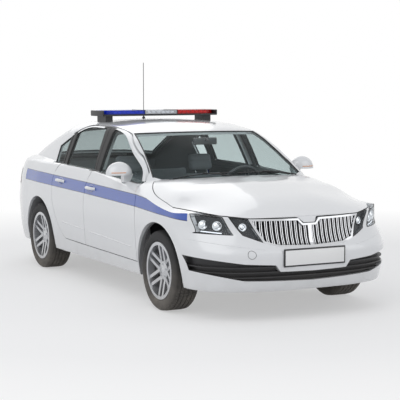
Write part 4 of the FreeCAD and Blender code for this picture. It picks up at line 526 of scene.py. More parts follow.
# The loops round the outer face of a node's panes, without those of a few points
def paneLoops(obj, outward, reach=0.75, fewest=8):
    work = weldedCopy(obj.data)
    outer = {face for face in work.faces if face.normal.dot(outward(face.calc_center_median())) > reach}
    rim = [edge for edge in work.edges if sum(face in outer for face in edge.link_faces) == 1]
    links = {}
    for edge in rim:
        a, b = edge.verts
        links.setdefault(a.index, []).append(b.index)
        links.setdefault(b.index, []).append(a.index)
    work.verts.ensure_lookup_table()
    loops = []
    seen = set()
    for first in links:
        if first in seen:
            continue
        loop = [first]
        seen.add(first)
        while True:
            ahead = [index for index in links[loop[-1]] if index not in seen]
            if not ahead:
                break
            loop.append(ahead[0])
            seen.add(ahead[0])
        if len(loop) > fewest:
            loops.append([work.verts[index].co.copy() for index in loop])
    work.free()
    return loops


# The ways that the panes face, and how far out the quarter windows start
paneWay = {"side": (0, 0.94, 0.34), "windscreen": (0.5, 0, 0.866), "rearWindow": (-0.30, 0, 0.95),
           "quarter": 0.55}


def mirrored(way, center):
    x, y, z = way
    return Vector((x, math.copysign(y, center.y), z))


def sideways(center):
    return mirrored(paneWay["side"], center)


def screenWay(center):
    if abs(center.y) > paneWay["quarter"] and center.x < 0:
        return sideways(center)
    return Vector(paneWay["windscreen" if center.x > 0 else "rearWindow"])


# Rubber seals round every pane
sealSize = {"side": 0.0045, "screen": 0.0060, "screenReach": 0.35}
for end in ends:
    for side in sides:
        pane = "%s_%s_window" % (end, side)
        addTube(pane + "_seal", paneLoops(nodes[pane], sideways), sealSize["side"], "seal",
                "%s_%s_leaf" % (end, side), closed=True)
for pane, name, body in (("fixed_windows", "screen_seals", "shell"),
                         ("rear_window", "rear_window_seal", "tailgate_lid")):
    addTube(name, paneLoops(nodes[pane], screenWay, sealSize["screenReach"]), sealSize["screen"], "seal",
            body, closed=True)
print("scene: window seals")


# Repeats: the named inputs that each tree starts with
def startRepeat(name, places=()):
    tree = bpy.data.node_groups.new(name, "GeometryNodeTree")
    for label, kind in (("Source", "NodeSocketObject"), ("Count", "NodeSocketInt"), *places,
                        ("Material", "NodeSocketMaterial")):
        tree.interface.new_socket(label, in_out="INPUT", socket_type=kind)
    tree.interface.new_socket("Geometry", in_out="OUTPUT", socket_type="NodeSocketGeometry")
    return tree, tree.nodes.new("NodeGroupInput").outputs


# The end of each tree: copies on the points, made real and given their material
def endRepeat(tree, inputs, points, turn=None):
    source = tree.nodes.new("GeometryNodeObjectInfo")
    tree.links.new(inputs["Source"], source.inputs["Object"])
    place = tree.nodes.new("GeometryNodeInstanceOnPoints")
    tree.links.new(points.outputs[0], place.inputs["Points"])
    tree.links.new(source.outputs["Geometry"], place.inputs["Instance"])
    if turn is not None:
        tree.links.new(turn.outputs[0], place.inputs["Rotation"])
    real = tree.nodes.new("GeometryNodeRealizeInstances")
    tree.links.new(place.outputs[0], real.inputs[0])
    cover = tree.nodes.new("GeometryNodeSetMaterial")
    tree.links.new(real.outputs[0], cover.inputs[0])
    tree.links.new(inputs["Material"], cover.inputs["Material"])
    tree.links.new(cover.outputs[0], tree.nodes.new("NodeGroupOutput").inputs[0])
    return tree


# Copies of a source object turned about the Y axis
def buildRingRepeat():
    tree, inputs = startRepeat("Ring Repeat")
    points = tree.nodes.new("GeometryNodePoints")
    tree.links.new(inputs["Count"], points.inputs["Count"])
    index = tree.nodes.new("GeometryNodeInputIndex")
    share = calculate(tree, "DIVIDE", index.outputs[0], inputs["Count"])
    turn = tree.nodes.new("ShaderNodeCombineXYZ")
    tree.links.new(calculate(tree, "MULTIPLY", share, 2 * math.pi), turn.inputs["Y"])
    return endRepeat(tree, inputs, points, turn)


# Copies of a source object at equal steps along a line
def buildLineRepeat():
    tree, inputs = startRepeat("Line Repeat", (("Start", "NodeSocketVector"), ("Step", "NodeSocketVector")))
    row = tree.nodes.new("GeometryNodeMeshLine")
    tree.links.new(inputs["Count"], row.inputs["Count"])
    tree.links.new(inputs["Start"], row.inputs["Start Location"])
    tree.links.new(inputs["Step"], row.inputs["Offset"])
    return endRepeat(tree, inputs, row)


ringRepeat = buildRingRepeat()
lineRepeat = buildLineRepeat()


# The mesh that a repeat makes of a source mesh
def repeated(name, tree, sourceMesh, **values):
    scene = bpy.context.scene
    source = bpy.data.objects.new(name + "_source", sourceMesh)
    scene.collection.objects.link(source)
    carrier = bpy.data.objects.new(name, bpy.data.meshes.new(name))
    scene.collection.objects.link(carrier)
    modifier = carrier.modifiers.new("Repeat", "NODES")
    modifier.node_group = tree
    named = {item.name: item.identifier for item in tree.interface.items_tree
             if item.item_type == "SOCKET" and item.in_out == "INPUT"}
    modifier[named["Source"]] = source
    for label, value in values.items():
        modifier[named[label]] = value
    carrier.update_tag()
    mesh = finishedMesh(carrier)
    carrier.modifiers.remove(modifier)
    bpy.data.objects.remove(carrier)
    bpy.data.objects.remove(source)
    mesh.name = name
    return mesh


def movedMesh(mesh, matrix):
    copy = mesh.copy()
    copy.transform(matrix)
    if matrix.determinant() < 0:
        copy.flip_normals()
    return copy


def joinMeshes(name, meshes):
    work = bmesh.new()
    for mesh in meshes:
        work.from_mesh(mesh)
    joined = bpy.data.meshes.new(name)
    work.to_mesh(joined)
    work.free()
    return joined


# A profile of (along the axle, radius) points turned about the Y axis
def turnedMesh(name, profile, steps, closed=False):
    points = []
    for step in range(steps):
        angle = 2 * math.pi * step / steps
        points += [(radius * math.sin(angle), across, radius * math.cos(angle)) for across, radius in profile]
    count = len(profile)
    faces = []
    last = count if closed else count - 1
    for step in range(steps):
        for index in range(last):
            a = step * count + index
            b = step * count + (index + 1) % count
            c = (step + 1) % steps * count + (index + 1) % count
            d = (step + 1) % steps * count + index
            faces.append((a, b, c, d))
    return meshFromData(name, points, faces)


# A turned piece from pairs of a place along the axle and a share of the radius
def shapedMesh(name, shape, radius, steps, start=0.0):
    return turnedMesh(name, [(start + along, max(share * radius, onAxis)) for along, share in shape], steps)


def boxMesh(name, size, center=(0, 0, 0), bevel=0.0, segments=2):
    work = bmesh.new()
    bmesh.ops.create_cube(work, size=1.0)
    for vert in work.verts:
        vert.co = Vector((vert.co.x * size[0], vert.co.y * size[1], vert.co.z * size[2]))
    if bevel:
        bmesh.ops.bevel(work, geom=work.edges, offset=bevel, segments=segments, affect="EDGES", profile=0.5)
    bmesh.ops.translate(work, verts=work.verts, vec=Vector(center))
    mesh = bpy.data.meshes.new(name)
    work.to_mesh(mesh)
    work.free()
    return mesh


# Tyres: rounded walls with a rim guard, and a tread of separate blocks in ribs
tyre = {
    "radius": axle["level"], "groove": 0.0065, "blocks": 72, "blockGap": 0.0035, "slantShare": 0.18,
    "shoulder": 0.080, "shoulderDrop": 0.0035, "sunk": 0.002, "steps": 96, "treadEdge": 0.088,
    "ribs": ((-0.088, -0.058), (-0.050, -0.022), (-0.014, 0.014), (0.022, 0.050), (0.058, 0.088)),
    "wall": ((0.0820, 0.2125), (0.0935, 0.2125), (0.0935, 0.2290), (0.0990, 0.2330), (0.1050, 0.2400),
             (0.1062, 0.2415), (0.1085, 0.2520), (0.1105, 0.2640), (0.1108, 0.2700), (0.1095, 0.2830),
             (0.1068, 0.2935), (0.1050, 0.2990), (0.1000, 0.3050), (0.0950, 0.3085)),
    "inside": ((-0.0820, 0.2125), (-0.097, 0.262), (-0.076, 0.300), (0.076, 0.300), (0.097, 0.262)),
}


# The faces of one tread block, whose points run by side, then by part of its length, then by level
def treadFaces(base):
    def corner(side, part, level):
        return base + side * 6 + part * 2 + level

    faces = []
    for part, after in ((0, 1), (1, 2)):
        faces.append((corner(0, part, 1), corner(1, part, 1), corner(1, after, 1), corner(0, after, 1)))
        faces.append((corner(0, part, 0), corner(0, part, 1), corner(0, after, 1), corner(0, after, 0)))
        faces.append((corner(1, part, 1), corner(1, part, 0), corner(1, after, 0), corner(1, after, 1)))
        faces.append((corner(0, part, 0), corner(0, after, 0), corner(1, after, 0), corner(1, part, 0)))
    faces.append((corner(0, 0, 0), corner(1, 0, 0), corner(1, 0, 1), corner(0, 0, 1)))
    faces.append((corner(0, 2, 0), corner(0, 2, 1), corner(1, 2, 1), corner(1, 2, 0)))
    return faces


def tyreMesh():
    floor = tyre["radius"] - tyre["groove"]
    outer = list(tyre["wall"]) + [(tyre["treadEdge"], floor)]
    profile = outer + [(-y, r) for y, r in outer[::-1]] + list(tyre["inside"])
    casing = turnedMesh("tyre_casing", profile, tyre["steps"], closed=True)
    angle = 2 * math.pi / tyre["blocks"]
    blockShare = 1 - tyre["blockGap"] / (angle * tyre["radius"])
    points = []
    faces = []
    for low, high in tyre["ribs"]:
        faces += treadFaces(len(points))
        slant = 0.0 if low == -high else tyre["slantShare"] * angle
        for y in (low, high):
            drop = tyre["shoulderDrop"] if abs(y) > tyre["shoulder"] else 0.0
            for part in (-0.5, 0.0, 0.5):
                turn = part * angle * blockShare + slant * (1 if y == high else -1)
                for radius in (floor - tyre["sunk"], tyre["radius"] - drop):
                    points.append((radius * math.sin(turn), y, radius * math.cos(turn)))
    block = meshFromData("tread_block", points, faces)
    tread = repeated("tread", ringRepeat, block, Count=tyre["blocks"], Material=look["tyre"])
    return joinMeshes("tyre", [casing, tread])


# Wheel bolts in their ring and a centre cap
wheelTrim = {"bolts": 5, "circle": 0.050, "boltRadius": 0.0095, "boltFace": 0.0605, "boltSteps": 12,
             "boltShape": ((-0.004, 0), (-0.004, 1.3), (0.001, 1.3), (0.001, 1), (0.007, 1), (0.007, 0.6),
                           (0.005, 0.55), (0.005, 0)),
             "capRadius": 0.028, "capFace": 0.0675, "capSteps": 32,
             "capShape": ((-0.006, 0), (-0.006, 1), (-0.001, 1), (0.0015, 0.88), (0.0035, 0.5), (0.004, 0))}


def wheelTrimMesh():
    bolt = shapedMesh("bolt", wheelTrim["boltShape"], wheelTrim["boltRadius"], wheelTrim["boltSteps"],
                      wheelTrim["boltFace"])
    bolt.transform(Matrix.Translation((0, 0, wheelTrim["circle"])))
    ring = repeated("bolts", ringRepeat, bolt, Count=wheelTrim["bolts"], Material=look["bright"])
    cap = shapedMesh("cap", wheelTrim["capShape"], wheelTrim["capRadius"], wheelTrim["capSteps"],
                     wheelTrim["capFace"])
    return joinMeshes("wheel_trim", [ring, cap])


tyreShape = tyreMesh()
trimShape = wheelTrimMesh()
for end in ends:
    for side, sign in sides.items():
        name = "%s_%s" % (end, side)
        low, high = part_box(name + "_tyre")
        center = (Vector(low) + Vector(high)) / 2
        turn = Matrix.Translation(center) @ Matrix.Rotation(0 if sign > 0 else math.pi, 4, "Z")
        made = addMesh(name + "_tyre_tread", movedMesh(tyreShape, turn), look["tyre"], name + "_wheel")
        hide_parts(name + "_tyre")
        addMesh(name + "_wheel_bolts", movedMesh(trimShape, turn), look["bright"], name + "_wheel")
print("scene: tyres and wheel trim")


# Blank number plates in their holders
plate = {"size": (0.0025, 0.520, 0.112), "bevel": 0.001, "holder": (0.010, 0.544, 0.136),
         "holderBevel": 0.004, "behind": 0.0055, "front": (2.3382, 0.485), "rearLevel": 0.800,
         "stand": 0.012}


def platePieces(name, x, z, facing, body, tilt=0.0):
    turn = Matrix.Translation((x, 0, z)) @ Matrix.Rotation(tilt, 4, "Y")
    back = turn @ Matrix.Translation((-facing * plate["behind"], 0, 0))
    holder = boxMesh(name, plate["holder"], bevel=plate["holderBevel"])
    addMesh(name + "_holder", movedMesh(holder, back), look["trim"], body)
    addMesh(name, movedMesh(boxMesh(name, plate["size"], bevel=plate["bevel"]), turn), look["plate"], body)


platePieces("front_plate", *plate["front"], 1, "shell")
print("scene: plates")


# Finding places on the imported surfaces
def surfaceOf(*names):
    work = bmesh.new()
    for name in names:
        work.from_mesh(nodes[name].data)
    tree = BVHTree.FromBMesh(work)
    work.free()
    return tree


# Where a ray meets a surface, with the normal on the side that the ray comes from
def hit(tree, origin, direction):
    point, normal, index, distance = tree.ray_cast(Vector(origin), Vector(direction))
    if point is not None and normal.dot(Vector(direction)) > 0:
        normal = -normal
    return point, normal


def touch(tree, origin, direction):
    point, normal = hit(tree, origin, direction)
    if point is None:
        raise ValueError("no surface from %s" % (tuple(origin),))
    return point, normal


# The points that rays from several places find on a surface, without those that miss
def skinPoints(tree, places, direction, lift=0.0):
    hits = [hit(tree, place, direction) for place in places]
    return [point + normal * lift for point, normal in hits if point is not None]


# Rays from beyond the car: from one side over (x, z) places, or from one end over (y, z) places
beyond = {"side": 1.3, "end": 3.0}


def fromSide(tree, places, sign):
    return skinPoints(tree, [(x, beyond["side"] * sign, z) for x, z in places], (0, -sign, 0))


def fromEnd(tree, places, facing=1):
    return skinPoints(tree, [(beyond["end"] * facing, y, z) for y, z in places], (-facing, 0, 0))


# Values or places at equal steps from one to another
def between(first, last, count):
    if isinstance(first, tuple):
        first, last = Vector(first), Vector(last)
    return [first + (last - first) * (step / count) for step in range(count + 1)]


def ringPlaces(center, radius, count):
    turns = [2 * math.pi * step / count for step in range(count)]
    return [(center[0] + radius * math.cos(turn), center[1] + radius * math.sin(turn)) for turn in turns]


# A turn that sets local Y along a surface's normal and local Z upwards, at a point
def standOn(point, normal, up=(0, 0, 1)):
    outward = normal.normalized()
    rise = (Vector(up) - outward * outward.dot(Vector(up))).normalized()
    along = outward.cross(rise)
    turn = Matrix((along, outward, rise)).transposed().to_4x4()
    return Matrix.Translation(point) @ turn


def scaledMesh(mesh, factors):
    return movedMesh(mesh, Matrix.Diagonal((*factors, 1)))


doorSkin = {(end, side): surfaceOf("%s_%s_door" % (end, side)) for end in ends for side in sides}

# Door handles: a bowed bar over a dished plate
handle = {"length": 0.172, "stand": 0.034, "bar": 0.0085, "barSides": 4, "tall": 1.55,
          "bowShares": ((-1, 0), (-0.93, 0.45), (-0.76, 0.78), (-0.40, 0.96), (0, 1), (0.40, 0.96),
                        (0.76, 0.78), (0.93, 0.45), (1, 0)),
          "dish": ((0.0004, onAxis), (0.0004, 0.034), (0.0016, 0.040), (0.0002, 0.043), (-0.0020, 0.043)),
          "dishSteps": 40, "dishStretch": (1.55, 1, 0.72),
          "places": {"front": (0.085, 0.872), "rear": (-0.655, 0.890)}}


def handleMeshes():
    half = handle["length"] / 2
    line = [(half * along, handle["stand"] * out, 0) for along, out in handle["bowShares"]]
    bar = tubeMesh("handle_bar", [line], handle["bar"], sides=handle["barSides"])
    dish = turnedMesh("handle_dish", handle["dish"], handle["dishSteps"])
    return scaledMesh(bar, (1, 1, handle["tall"])), scaledMesh(dish, handle["dishStretch"])


handleBar, handleDish = handleMeshes()
for end in ends:
    for side, sign in sides.items():
        leaf = "%s_%s_leaf" % (end, side)
        x, z = handle["places"][end]
        turn = standOn(*touch(doorSkin[end, side], (x, beyond["side"] * sign, z), (0, -sign, 0)))
        addMesh("%s_%s_handle" % (end, side), movedMesh(handleBar, turn), look["mirrorPaint"], leaf)
        addMesh("%s_%s_handle_dish" % (end, side), movedMesh(handleDish, turn), look["doorPaint"], leaf)

# Fuel flap on the left rear quarter, a rounded square drawn by its seam
flap = {"x": -1.42, "z": 0.760, "half": 0.082, "seam": 0.0022, "corner": 4.0, "steps": 64}


def squared(part):
    return math.copysign(abs(part) ** (2 / flap["corner"]), part) * flap["half"]


ring = [(flap["x"] + squared(across), flap["z"] + squared(up))
        for across, up in ringPlaces((0, 0), 1, flap["steps"])]
ring = fromSide(surfaceOf("body_sides"), ring, sides["left"])
addTube("fuel_flap_seam", [ring], flap["seam"], "seal", "shell", closed=True)

# Mirrors: glass on the flat back and a turn lamp across the front
mirror = {"glass": (0.088, 0.003, 0.040), "glassSteps": 48, "out": 0.892, "level": 1.076,
          "glassShape": ((0, 0), (0, 0.94), (0.4, 1), (1, 0.97), (1.1, 0.5), (1.1, 0)),
          "lamp": ((0.860, 1.050), (0.980, 1.050)), "lampSteps": 12, "lampRadius": 0.0030}
for side, sign in sides.items():
    name = side + "_mirror"
    leaf = "front_%s_leaf" % side
    low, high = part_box(name)
    shape = Matrix.Translation((low.x, sign * mirror["out"], mirror["level"]))
    shape = shape @ Matrix.Rotation(math.pi / 2, 4, "Z") @ Matrix.Diagonal((*mirror["glass"], 1))
    pane = shapedMesh("mirror_glass", mirror["glassShape"], 1, mirror["glassSteps"])
    addMesh(name + "_glass", movedMesh(pane, shape), look["mirror"], leaf)
    places = [(sign * y, z) for y, z in between(*mirror["lamp"], mirror["lampSteps"])]
    addTube(name + "_lamp", [fromEnd(surfaceOf(name), places)], mirror["lampRadius"], "amber", leaf)

# Wipers resting at the windscreen's foot
wiper = {"blades": (((1.040, 0.590), (1.088, 0.020)), ((1.078, -0.030), (1.046, -0.560))), "steps": 16,
         "above": 2.0, "lift": 0.010, "rubber": 0.0045, "arm": 0.0055,
         "pivots": ((1.078, 0.600, 0.998), (1.122, -0.020, 1.000)), "rise": (0.012, 0.018, 0.008)}
screen = surfaceOf("fixed_windows")
for index, span in enumerate(wiper["blades"]):
    places = [(x, y, wiper["above"]) for x, y in between(*span, wiper["steps"])]
    blade = skinPoints(screen, places, (0, 0, -1), wiper["lift"])
    addTube("wiper_blade_%d" % index, [blade], wiper["rubber"], "seal", "shell")
    pivot = Vector(wiper["pivots"][index])
    middle = blade[len(blade) // 2]
    rises = [Vector((0, 0, rise)) for rise in wiper["rise"]]
    arm = [pivot, pivot + rises[0], (pivot + middle) / 2 + rises[1], middle + rises[2]]
    addTube("wiper_arm_%d" % index, [arm], wiper["arm"], "trim", "shell")
print("scene: handles, flap, mirrors and wipers")

# Light bar: reflector modules in the lenses, end caps, dividers and a groove along the front
bar = {"x": (-0.640, -0.350), "z": (1.504, 1.542), "half": 0.590, "split": 0.165, "taper": 0.120,
       "modules": 7, "first": 0.015, "middleModules": 6, "middleStep": 0.048, "inset": 0.020,
       "module": (0.026, 0.034, 0.022), "moduleBevel": 0.002, "led": 0.0045, "ledStep": 0.0105,
       "ledShape": ((0, 0), (0, 1), (0.002, 0.8), (0.0035, 0.3), (0.0036, 0)), "ledSteps": 12,
       "cap": (0.296, 0.014, 0.046), "capBevel": 0.006, "capAt": (0.586, 1.519),
       "divider": (0.294, 0.008, 0.042), "dividerBevel": 0.002, "dividerAt": (0.1665, 1.5235),
       "groove": 0.003, "grooveProud": 0.001}
middleX = (bar["x"][0] + bar["x"][1]) / 2
middleZ = (bar["z"][0] + bar["z"][1]) / 2


def lampModule():
    case = boxMesh("module", bar["module"], bevel=bar["moduleBevel"])
    dome = shapedMesh("led", bar["ledShape"], bar["led"], bar["ledSteps"])
    leds = [movedMesh(dome, Matrix.Translation((bar["module"][0] / 2, step * bar["ledStep"], 0))
                      @ Matrix.Rotation(-math.pi / 2, 4, "Z")) for step in (-1, 0, 1)]
    return case, joinMeshes("leds", leds)


caseMesh, ledMesh = lampModule()


# Rows of modules behind both long edges of one lens, facing forwards and back
def moduleRows(part, first, step, count):
    for facing, edge, turn in (("front", bar["x"][1] - bar["inset"], 0),
                               ("rear", bar["x"][0] + bar["inset"], math.pi)):
        for kind, mesh, key in (("case", caseMesh, "reflector"), ("led", ledMesh, "daylight")):
            name = "bar_%s_%s_%s" % (kind, part, facing)
            turned = movedMesh(mesh, Matrix.Rotation(turn, 4, "Z"))
            row = repeated(name, lineRepeat, turned, Count=count, Start=(edge, first, middleZ),
                           Step=(0, step, 0), Material=look[key])
            addMesh(name, row, look[key], "shell")


for side, sign in sides.items():
    step = (bar["half"] - bar["split"] - bar["taper"]) / bar["modules"]
    moduleRows(side, sign * (bar["split"] + bar["first"] + step / 2), sign * step, bar["modules"])
    for kind, segments in (("cap", 3), ("divider", 2)):
        y, z = bar[kind + "At"]
        block = boxMesh(kind, bar[kind], bevel=bar[kind + "Bevel"], segments=segments)
        place = Matrix.Translation((middleX, sign * y, z))
        addMesh("bar_%s_%s" % (kind, side), movedMesh(block, place), look["trim"], "shell")
moduleRows("middle", -bar["middleStep"] * (bar["middleModules"] - 1) / 2, bar["middleStep"],
           bar["middleModules"])
groove = [(bar["x"][1] + bar["grooveProud"], y, bar["z"][0]) for y in (-bar["half"], bar["half"])]
addTube("bar_groove", [groove], bar["groove"], "seal", "shell")
print("scene: light bar")


# Lamps: a backing a little behind the cover, in the shape of the cover's outer face
def backing(name, outward, depth, keep, shrink=0.94, reach=0.55):
    work = weldedCopy(nodes[name].data)
    middles = [(face, face.calc_center_median()) for face in work.faces]
    gone = [face for face, middle in middles if face.normal.dot(outward(middle)) < reach or not keep(middle)]
    bmesh.ops.delete(work, geom=gone, context="FACES")
    work.normal_update()
    center = sum((vert.co for vert in work.verts), Vector()) / max(len(work.verts), 1)
    way = outward(center).normalized()
    for vert in work.verts:
        flat = vert.co - center
        along = way * flat.dot(way)
        vert.co = center + along + (flat - along) * shrink - way * depth
    mesh = bpy.data.meshes.new(name)
    work.to_mesh(mesh)
    work.free()
    return mesh


# Headlamps: housing, a seal round each cover, projectors in bright rings and a light strip along the foot
headlamp = {"depth": 0.030, "split": (0.568, 0.656, 0.551), "seal": 0.0028, "sealReach": 0.55, "outer": 0.62,
            "projectors": ((0.772, 0.728, 0.030), (0.692, 0.722, 0.031), (0.528, 0.712, 0.026)),
            "eyeShape": ((-0.016, 0), (-0.016, 1.12), (0, 1.14), (0.001, 1), (-0.006, 0.92), (-0.004, 0.80),
                         (0.002, 0.55), (0.005, 0.25), (0.0055, 0)),
            "eyeSteps": 36, "eyeBehind": 0.019, "eyeWay": (0.93, 0.36, 0.05),
            "strip": ((0.785, 0.680), (0.668, 0.668)), "stripSteps": 12, "stripRadius": 0.0045,
            "stripBehind": 0.024, "way": (0.75, 0.62, 0.18), "turned": 0.7}


# The way that the nose faces, which turns outwards up to the lamps' outer ends
def noseWay(center):
    way = mirrored(headlamp["way"], center)
    way.y *= min(abs(center.y) / headlamp["turned"], 1.0)
    return way


covers = surfaceOf("headlamps")
for loop in paneLoops(nodes["headlamps"], noseWay, headlamp["sealReach"]):
    middle = sum(loop, Vector()) / len(loop)
    name = "headlamp_seal_%s_%s" % ("left" if middle.y > 0 else "right",
                                    "outer" if abs(middle.y) > headlamp["outer"] else "inner")
    addTube(name, [loop], headlamp["seal"], "seal", "shell", closed=True)


def outsideSplit(center):
    y0, z0, slope = headlamp["split"]
    return abs(center.y) > y0 + (center.z - z0) * slope


for side, sign in sides.items():
    for part, keep in (("outer", lambda center: center.y * sign > 0 and outsideSplit(center)),
                       ("inner", lambda center: center.y * sign > 0 and not outsideSplit(center))):
        name = "headlamp_%s_%s_housing" % (side, part)
        addMesh(name, backing("headlamps", noseWay, headlamp["depth"], keep), look["lampBlack"], "shell")
    x, y, z = headlamp["eyeWay"]
    way = Vector((x, sign * y, z)).normalized()
    for index, (y, z, radius) in enumerate(headlamp["projectors"]):
        point, normal = touch(covers, (beyond["end"], sign * y, z), (-1, 0, 0))
        eye = shapedMesh("eye", headlamp["eyeShape"], radius, headlamp["eyeSteps"])
        turn = standOn(point - way * headlamp["eyeBehind"], way)
        addMesh("headlamp_%s_projector_%d" % (side, index), movedMesh(eye, turn), look["reflector"], "shell")
    places = [(sign * y, z) for y, z in between(*headlamp["strip"], headlamp["stripSteps"])]
    line = [point - way * headlamp["stripBehind"] for point in fromEnd(covers, places)]
    addTube("headlamp_%s_strip" % side, [line], headlamp["stripRadius"], "daylight", "shell")
print("scene: headlamps")

# Tail lamps: a bright backing, three light bands and a seal round each cover
tail = {"depth": 0.018, "bands": (0.822, 0.858, 0.896), "across": (0.700, 0.850), "steps": 16,
        "behind": 0.009, "band": 0.0050, "seal": 0.0026, "sealReach": 0.55, "way": (-0.72, 0.66, 0.1)}
tailCovers = surfaceOf("tail_lamps")


def tailWay(center):
    return mirrored(tail["way"], center)


for side, sign in sides.items():
    mesh = backing("tail_lamps", tailWay, tail["depth"], lambda center: center.y * sign > 0)
    addMesh("tail_lamp_%s_backing" % side, mesh, look["reflector"], "shell")
    inwards = Vector((-tail["way"][0], -tail["way"][1] * sign, 0)) * tail["behind"]
    lines = []
    for z in tail["bands"]:
        first, last = ((sign * y, z) for y in tail["across"])
        places = between(first, last, tail["steps"])
        lines.append([point + inwards for point in fromEnd(tailCovers, places, -1)])
    addTube("tail_lamp_%s_bands" % side, lines, tail["band"], "tailGlow", "shell")
for loop in paneLoops(nodes["tail_lamps"], tailWay, tail["sealReach"]):
    name = "tail_lamp_%s_seal" % ("left" if loop[0].y > 0 else "right")
    addTube(name, [loop], tail["seal"], "seal", "shell", closed=True)

# Rear plate on the tailgate
point, normal = touch(surfaceOf("tailgate"), (-beyond["end"], 0, plate["rearLevel"]), (1, 0, 0))
place = point + normal * plate["stand"]
platePieces("rear_plate", place.x, place.z, -1, "tailgate_lid", math.asin(normal.z))
print("scene: tail lamps and rear plate")

# Wheel arches: a rolled lip round each opening, laid on the skin
arch = {"radius": 0.389, "lip": 0.0045, "sweep": (-12, 192), "steps": 40, "low": 0.245, "innerSide": 0.80,
        "sunk": 0.0015,
        "skins": {"front": ("front_fenders", "front_bumper"),
                  "rear": ("body_sides", "rear_bumper", "rear_left_door", "rear_right_door")}}
for end in ends:
    skin = surfaceOf(*arch["skins"][end])
    first, last = arch["sweep"]
    turns = [math.radians(first + (last - first) * step / arch["steps"]) for step in range(arch["steps"] + 1)]
    ring = [(axle[end] + arch["radius"] * math.cos(turn), axle["level"] + arch["radius"] * math.sin(turn))
            for turn in turns]
    ring = [(x, z) for x, z in ring if z > arch["low"]]
    for side, sign in sides.items():
        line = [point - Vector((0, sign * arch["sunk"], 0)) for point in fromSide(skin, ring, sign)
                if abs(point.y) > arch["innerSide"]]
        addTube("arch_lip_%s_%s" % (end, side), [line], arch["lip"], "mirrorPaint", "shell")

# Front bumper: the crease along its top and the tow cover's seam
nose = {"crease": ((0.874, 0.621), (0.640, 0.583), (0.408, 0.550)), "creaseWidth": 0.0022, "creaseSteps": 12,
        "towCover": (-0.513, 0.518), "towRadius": 0.030, "towSteps": 36, "seam": 0.0016}
skin = surfaceOf("front_bumper")
outer, bend, inner = nose["crease"]
path = between(outer, bend, nose["creaseSteps"])[:-1] + between(bend, inner, nose["creaseSteps"])
for side, sign in sides.items():
    line = fromEnd(skin, [(sign * y, z) for y, z in path])
    addTube("bumper_crease_" + side, [line], nose["creaseWidth"], "mirrorPaint", "shell")
ring = fromEnd(skin, ringPlaces(nose["towCover"], nose["towRadius"], nose["towSteps"]))
addTube("tow_cover_seam", [ring], nose["seam"], "seal", "shell", closed=True)

# The bonnet's nose: the tongue of its front edge that fills the grille's notch
tongue = {"top": 0.779, "low": 0.7365, "topHalf": 0.086, "lowHalf": 0.048, "rows": 4, "columns": 9,
          "thick": 0.004, "grilleLevel": 0.727, "sunk": 0.0005, "smooth": 30}


def tongueMesh():
    lid = surfaceOf("bonnet")
    grille = surfaceOf("grille")
    rows, columns = tongue["rows"], tongue["columns"]
    points = []
    for row in range(rows + 1):
        part = row / rows
        half = tongue["topHalf"] + (tongue["lowHalf"] - tongue["topHalf"]) * part
        for y in between(-half, half, columns - 1):
            above, normal = touch(lid, (beyond["end"], y, tongue["top"]), (-1, 0, 0))
            below, normal = touch(grille, (beyond["end"], y / 2, tongue["grilleLevel"]), (-1, 0, 0))
            points.append((above.x + (below.x - above.x) * part - tongue["sunk"], y,
                           tongue["top"] + (tongue["low"] - tongue["top"]) * part))
    faces = [(start, start + 1, start + columns + 1, start + columns)
             for row in range(rows) for start in range(row * columns, row * columns + columns - 1)]
    count = len(points)
    points += [(x - tongue["thick"], y, z) for x, y, z in points]
    faces += [tuple(index + count for index in face[::-1]) for face in faces]
    rim = (list(range(columns)) + [row * columns + columns - 1 for row in range(1, rows + 1)]
           + [rows * columns + column for column in range(columns - 2, -1, -1)]
           + [row * columns for row in range(rows - 1, 0, -1)])
    faces += [(a, b, b + count, a + count) for a, b in zip(rim, rim[1:] + rim[:1])]
    return meshFromData("bonnet_nose", points, faces)


addMesh("bonnet_nose", tongueMesh(), look["mirrorPaint"], "bonnet_lid", tongue["smooth"])

# The crease low on the doors
crease = {"rear": (-0.620, 0.513), "front": (0.930, 0.454), "gap": {"rear": -0.030, "front": 0.052},
          "steps": 24, "width": 0.0050}
(rearX, rearZ), (frontX, frontZ) = crease["rear"], crease["front"]
slope = (frontZ - rearZ) / (frontX - rearX)
for side, sign in sides.items():
    for end in ends:
        span = between(crease["gap"][end], crease[end][0], crease["steps"])
        line = fromSide(doorSkin[end, side], [(x, rearZ + (x - rearX) * slope) for x in span], sign)
        addTube("%s_%s_door_crease" % (end, side), [line], crease["width"], "mirrorPaint",
                "%s_%s_leaf" % (end, side))
print("scene: arch lips, bumper trim, bonnet nose and door creases")

# Seats: pads swollen by pressure in the space of their solids, with sewn channels, on plain bases
seat = {
    "voxel": 0.008, "benchVoxel": 0.010, "pressure": 4.0, "frames": 20, "cap": 0.024, "start": 0.012,
    "round": 0.028, "channel": 0.0045, "channelWidth": 0.007, "tilt": 18.0, "out": 0.370, "smooth": 80,
    "cushion": (0.204, 0.396), "backrest": (-0.1487, 0.6834), "headrest": (-0.2838, 1.0504),
    "benchCushion": (-0.515, 0.496), "benchBackrest": (-0.8394, 0.7148),
    "base": (0.400, 0.400, 0.078), "baseAt": (0.140, 0.287), "baseBevel": 0.012,
    "posts": ((-0.228, 0.900), (-0.272, 1.020)), "apart": 0.06, "post": 0.0055,
}
# Each pad's length, width and thickness, the half width inside its bolsters, its channels' step and its taper
padSizes = {
    "cushion": (0.368, 0.496, 0.128, 0.155, 0.085, 0.0),
    "backrest": (0.615, 0.492, 0.118, 0.150, 0.095, 0.16),
    "headrest": (0.176, 0.256, 0.094, 0.200, 0.300, 0.0),
    "benchCushion": (0.330, 1.116, 0.128, 0.270, 0.085, 0.0),
    "benchBackrest": (0.555, 1.112, 0.118, 0.270, 0.095, 0.0),
}


